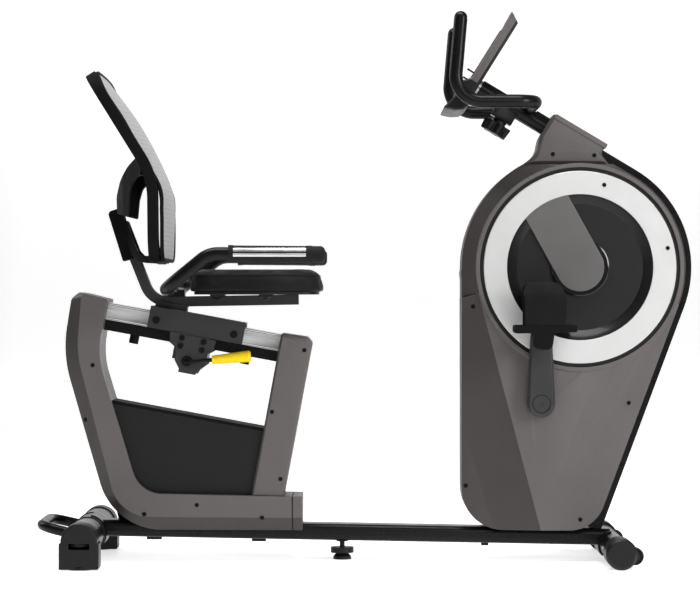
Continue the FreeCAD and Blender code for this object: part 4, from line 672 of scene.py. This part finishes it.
# ---------------------------------------------------------------- console
# The console's face in the middle plane: its lower and upper ends, its directions, and the rear edge.
FACE_LOW, FACE_HIGH = Vector((0.252, 0, 1.164)), Vector((0.341, 0, 1.306))
FACE_UP = (FACE_HIGH - FACE_LOW).normalized()
FACE_OUT = Vector((-FACE_UP.z, 0, FACE_UP.x))
BACK_EDGE = Vector((0.364, 0, 1.294))
SIDE_START, SIDE_DEPTH = -0.004, 0.007  # where the taupe of the sides begins, up and forward
KEY_COUNT, KEY_STEP, KEY_HALF, KEY_SPAN, KEY_RISE = 6, 0.034, 0.0125, (0.004, 0.0125), 0.0022
BAR_COUNT, BAR_STEP, BAR_HALF, BAR_SPAN, BAR_PITCH = 16, 0.0115, 0.0044, (0.028, 0.0332), 0.0066
BAR_TALLEST, BAR_WAVE = 5, 0.42         # the bars rise and fall like a hill profile
WINDOW_COUNT, WINDOW_STEP, WINDOW_HALF, WINDOW_SPAN = 4, 0.05, 0.021, (0.088, 0.116)
BEZEL_W, BEZEL_LOW, BEZEL_HIGH, BEZEL_RISE = 0.002, 0.0145, 0.1355, 0.0018
PEG_UP, PEG_SIDE, PEG_R = 0.014, 0.125, 0.0024


def on_face(name, u0, u1, y0, y1, lift, material):
    """Tile on the console's face: u up the face, y across it."""
    corners = ((u0, -0.001), (u1, -0.001), (u1, lift), (u0, lift))
    points = [FACE_LOW + FACE_UP * u + FACE_OUT * h for u, h in corners]
    tile = soften(plate(name, [(p.x, p.z) for p in points], y0, y1), min(0.9 * MM, lift * 0.45), 3)
    link(tile, BODY_OF["console_shell"], material)


def places(count, step):
    """Evenly spaced places across the face, the same to both sides."""
    return [(i - (count - 1) / 2) * step for i in range(count)]


def console():
    """Two-tone shell, keys below the screen, a bar display behind the glass and two page pegs."""
    bm = node_shape("console_shell")
    cut_plane(bm, FACE_LOW + FACE_UP * SIDE_START, FACE_UP)
    cut_plane(bm, BACK_EDGE + FACE_OUT * SIDE_DEPTH, FACE_OUT)
    shell = soften(from_bmesh("console_skin", bm), 1.2 * MM)
    body, slot = BODY_OF["console_shell"], SLOT_OF["console_shell"]
    link(shell, body, "black_plastic")
    shell.data.materials.append(MATERIALS["taupe_plastic"])
    for face in shell.data.polygons:
        above = (face.center - FACE_LOW).dot(FACE_UP) > SIDE_START
        ahead = (face.center - BACK_EDGE).dot(FACE_OUT) > SIDE_DEPTH
        if above and ahead and abs(face.normal.y) > 0.2:
            face.material_index = 1
    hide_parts("console_shell")

    for i, y in enumerate(places(KEY_COUNT, KEY_STEP)):
        finish = "yellow_rubber" if i == KEY_COUNT - 1 else "rubber"
        on_face(f"key_{i + 1}", *KEY_SPAN, y - KEY_HALF, y + KEY_HALF, KEY_RISE, finish)
    for i, y in enumerate(places(BAR_COUNT, BAR_STEP)):
        for k in range(1 + round(BAR_TALLEST * abs(math.sin(i * BAR_WAVE)))):
            u0, u1 = [u + k * BAR_PITCH for u in BAR_SPAN]
            on_face(f"bar_{i + 1}_{k + 1}", u0, u1, y - BAR_HALF, y + BAR_HALF, 0.0004, "segments")
    for i, y in enumerate(places(WINDOW_COUNT, WINDOW_STEP)):
        on_face(f"window_{i + 1}", *WINDOW_SPAN, y - WINDOW_HALF, y + WINDOW_HALF, 0.0006, "screen")
    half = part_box("console_screen")[1].y
    low, high = BEZEL_LOW + BEZEL_W, BEZEL_HIGH - BEZEL_W
    edges = ((BEZEL_LOW, low, -half, half), (high, BEZEL_HIGH, -half, half),
             (low, high, -half, BEZEL_W - half), (low, high, half - BEZEL_W, half))
    for i, edge in enumerate(edges):
        on_face(f"bezel_{i + 1}", *edge, BEZEL_RISE, "gloss_black")
    for side in (RIGHT, LEFT):
        foot = FACE_LOW + FACE_UP * PEG_UP + Vector((0, side * PEG_SIDE, 0))
        line = [foot + FACE_OUT * h for h in (-0.002, 0.006, 0.014, 0.019)]
        link(wire("page_peg_" + side_name(side), line, PEG_R), body, "black_plastic")


console()


# ---------------------------------------------------------------- trim
TRIM_BELOW, TRIM_ABOVE, TRIM_HALF = 0.006, 0.0015, 0.068
TRIM_FALL = 0.075                       # the top edge lies within this height of the panel's top


def infill_trim():
    """Thick dark strip along the sloping top edge of the infill panel."""
    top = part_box("infill_panel")[1].z
    data = frame["nodes"]["infill_panel"].data
    high = sorted((v.co.copy() for v in data.vertices if v.co.z > top - TRIM_FALL), key=lambda p: p.x)
    start = max((p for p in high if p.x < high[0].x + 0.002), key=lambda p: p.z)
    end = max((p for p in high if p.x > high[-1].x - 0.002), key=lambda p: p.z)
    start.y = end.y = 0.0
    slope = (end - start).normalized()
    up = Vector((-slope.z, 0, slope.x))
    corners = (start - up * TRIM_BELOW, end - up * TRIM_BELOW, end + up * TRIM_ABOVE, start + up * TRIM_ABOVE)
    strip = soften(plate("infill_trim", [(p.x, p.z) for p in corners], -TRIM_HALF, TRIM_HALF), 1.2 * MM)
    link(strip, BODY_OF["infill_panel"], "matte_black")


infill_trim()


# The rail's top face in the middle plane: a point on it, and how far it reaches from there each way.
RAIL_POINT, RAIL_ENDS = Vector((-0.405, 0, 0.5852)), (-0.29, 0.26)
RAIL_DEPTHS, RAIL_LINE_R = (0.0016, 0.0052, 0.0358, 0.0394), 0.0006


def rail_lines():
    """Dark lines of the extrusion's edges along both sides of the rail."""
    along = Vector((math.cos(RAIL_TILT), 0, -math.sin(RAIL_TILT)))
    down = Vector((-math.sin(RAIL_TILT), 0, -math.cos(RAIL_TILT)))
    for side in (RIGHT, LEFT):
        outside = Vector((0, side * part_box("seat_rail")[1][1], 0))
        for i, depth in enumerate(RAIL_DEPTHS):
            ends = [RAIL_POINT + along * d + down * depth + outside for d in RAIL_ENDS]
            line = wire(f"rail_line_{side_name(side)}_{i + 1}", ends, RAIL_LINE_R)
            link(line, BODY_OF["seat_rail"], "plate_paint")


rail_lines()

SCREW_R, SCREW_RISE, RECESS_R, SCREW_FOOT = 0.0055, 0.0012, 0.0011, -0.002
RECESS_FLOOR, SCREW_CORE = 0.0002, 0.0002
# Screws on the sloping faces of each cover, (x, z).
FACET_SCREWS = {"housing": ((0.259, 0.616), (0.242, 0.183)),
                "rear_shroud": ((-0.677, 0.343), (-0.534, 0.116), (-0.25, 0.107))}


def facet_screws():
    """Screw heads with a small round recess that lie on the sloping faces of the covers."""
    profile = [(SCREW_R, SCREW_FOOT), (SCREW_R, SCREW_RISE * 0.5), (SCREW_R * 0.85, SCREW_RISE),
               (RECESS_R, SCREW_RISE), (RECESS_R, RECESS_FLOOR), (SCREW_CORE, RECESS_FLOOR),
               (SCREW_CORE, SCREW_FOOT)]
    for cover, spots in FACET_SCREWS.items():
        for side in (RIGHT, LEFT):
            node = f"{cover}_{side_name(side)}"
            bm = node_shape(node)
            tree = BVHTree.FromBMesh(bm)
            bm.free()
            for i, (x, z) in enumerate(spots):
                hit, normal = tree.ray_cast(Vector((x, side * 0.5, z)), Vector((0, -side, 0)))[:2]
                if hit is None:
                    continue
                head = lathe(f"{cover}_screw_{side_name(side)}_{i + 1}", profile, Vector((0, 0, 0)), 32)
                turn = Vector((0, 1, 0)).rotation_difference(normal if normal.y * side > 0 else -normal)
                head.data.transform(Matrix.Translation(hit) @ turn.to_matrix().to_4x4())
                link(head, BODY_OF[node], "matte_black")


facet_screws()


# ---------------------------------------------------------------- camera, light and floor
CAMERA_AT, LENS, SENSOR = (-0.038, -6.89, 0.644), 145.2, 36.0
FLOOR_HALF, FLOOR_FRONT, FLOOR_BACK = 24.0, -24.0, 12.0
BEND_R, BEND_STEPS, WALL_TOP = 2.0, 16, 12.0
WORLD_GREY = 0.13
# Area lights: place, aim, size across and up, power.
LIGHTS = {
    "key": ((4.0, -3.4, 2.0), (0.1, 0, 0.6), (1.2, 2.2), 150),
    "top": ((-0.2, -0.5, 3.6), (0, 0, 0.5), (3.2, 1.0), 105),
    "front": ((1.4, -6.0, 3.0), (0.1, 0, 0.6), (2.4, 1.4), 60),
    "rim": ((-3.2, 1.4, 2.4), (0, 0, 0.7), (1.0, 2.0), 25),
}


def put_camera():
    camera = bpy.data.objects.new("camera", bpy.data.cameras.new("camera"))
    bpy.context.collection.objects.link(camera)
    camera.location = CAMERA_AT
    camera.rotation_euler = (math.radians(90), 0, 0)
    camera.data.lens, camera.data.sensor_width = LENS, SENSOR
    bpy.context.scene.camera = camera


def floor_material():
    """Near white, with a painted glow: an emission that brightens the floor and lights the bike, and fades
    towards the front and the sides.
    """
    s = Shader("floor", (0.86, 0.86, 0.86), 0.6, Specular_IOR_Level=0.2)
    s.tint(0.01, 0.7, 9.0)
    s.bsdf.inputs["Emission Color"].default_value = (1.0, 1.0, 1.0, 1.0)
    place = s.add("ShaderNodeSeparateXYZ", Vector=s.coord)
    # Painted light: the glow is strongest just in front of the bike and weaker at the sides, which leaves the
    # sides of the scene darker.
    near = s.span(place.outputs["Y"], -2.4, -0.5, 0.28, 0.65)
    beside = s.span(s.math("ABSOLUTE", place.outputs["X"]), 2.4, 4.6, 1.0, 0.45)
    s.put(s.bsdf.inputs["Emission Strength"], s.math("MULTIPLY", near, beside))
    return s.mat


def put_floor():
    """Floor that bends up into a wall far behind the bike."""
    mesh = bpy.data.meshes.new("floor")
    bm = bmesh.new()
    profile = [(FLOOR_FRONT, 0.0), (FLOOR_BACK, 0.0)]
    for i in range(BEND_STEPS):
        a = math.pi / 2 * (i + 1) / BEND_STEPS
        profile.append((FLOOR_BACK + BEND_R * math.sin(a), BEND_R * (1 - math.cos(a))))
    profile.append((FLOOR_BACK + BEND_R, WALL_TOP))
    rows = [(bm.verts.new((-FLOOR_HALF, y, z)), bm.verts.new((FLOOR_HALF, y, z))) for y, z in profile]
    for a, b in zip(rows, rows[1:]):
        bm.faces.new((a[0], a[1], b[1], b[0])).smooth = True
    bm.to_mesh(mesh)
    bm.free()
    floor = bpy.data.objects.new("floor", mesh)
    bpy.context.collection.objects.link(floor)
    mesh.materials.append(floor_material())


def put_lights():
    world = bpy.data.worlds.new("world")
    bpy.context.scene.world = world
    world.use_nodes = True
    world.node_tree.nodes["Background"].inputs["Color"].default_value = (1.0, 1.0, 1.0, 1.0)
    world.node_tree.nodes["Background"].inputs["Strength"].default_value = WORLD_GREY
    for name, (place, aim, size, power) in LIGHTS.items():
        light = bpy.data.objects.new(name, bpy.data.lights.new(name, "AREA"))
        bpy.context.collection.objects.link(light)
        light.data.shape, light.data.energy = "RECTANGLE", power
        light.data.size, light.data.size_y = size
        light.location = place
        light.rotation_euler = (Vector(aim) - Vector(place)).to_track_quat("-Z", "Y").to_euler()


put_camera()
put_floor()
put_lights()
bpy.context.scene.view_settings.view_transform = "Standard"
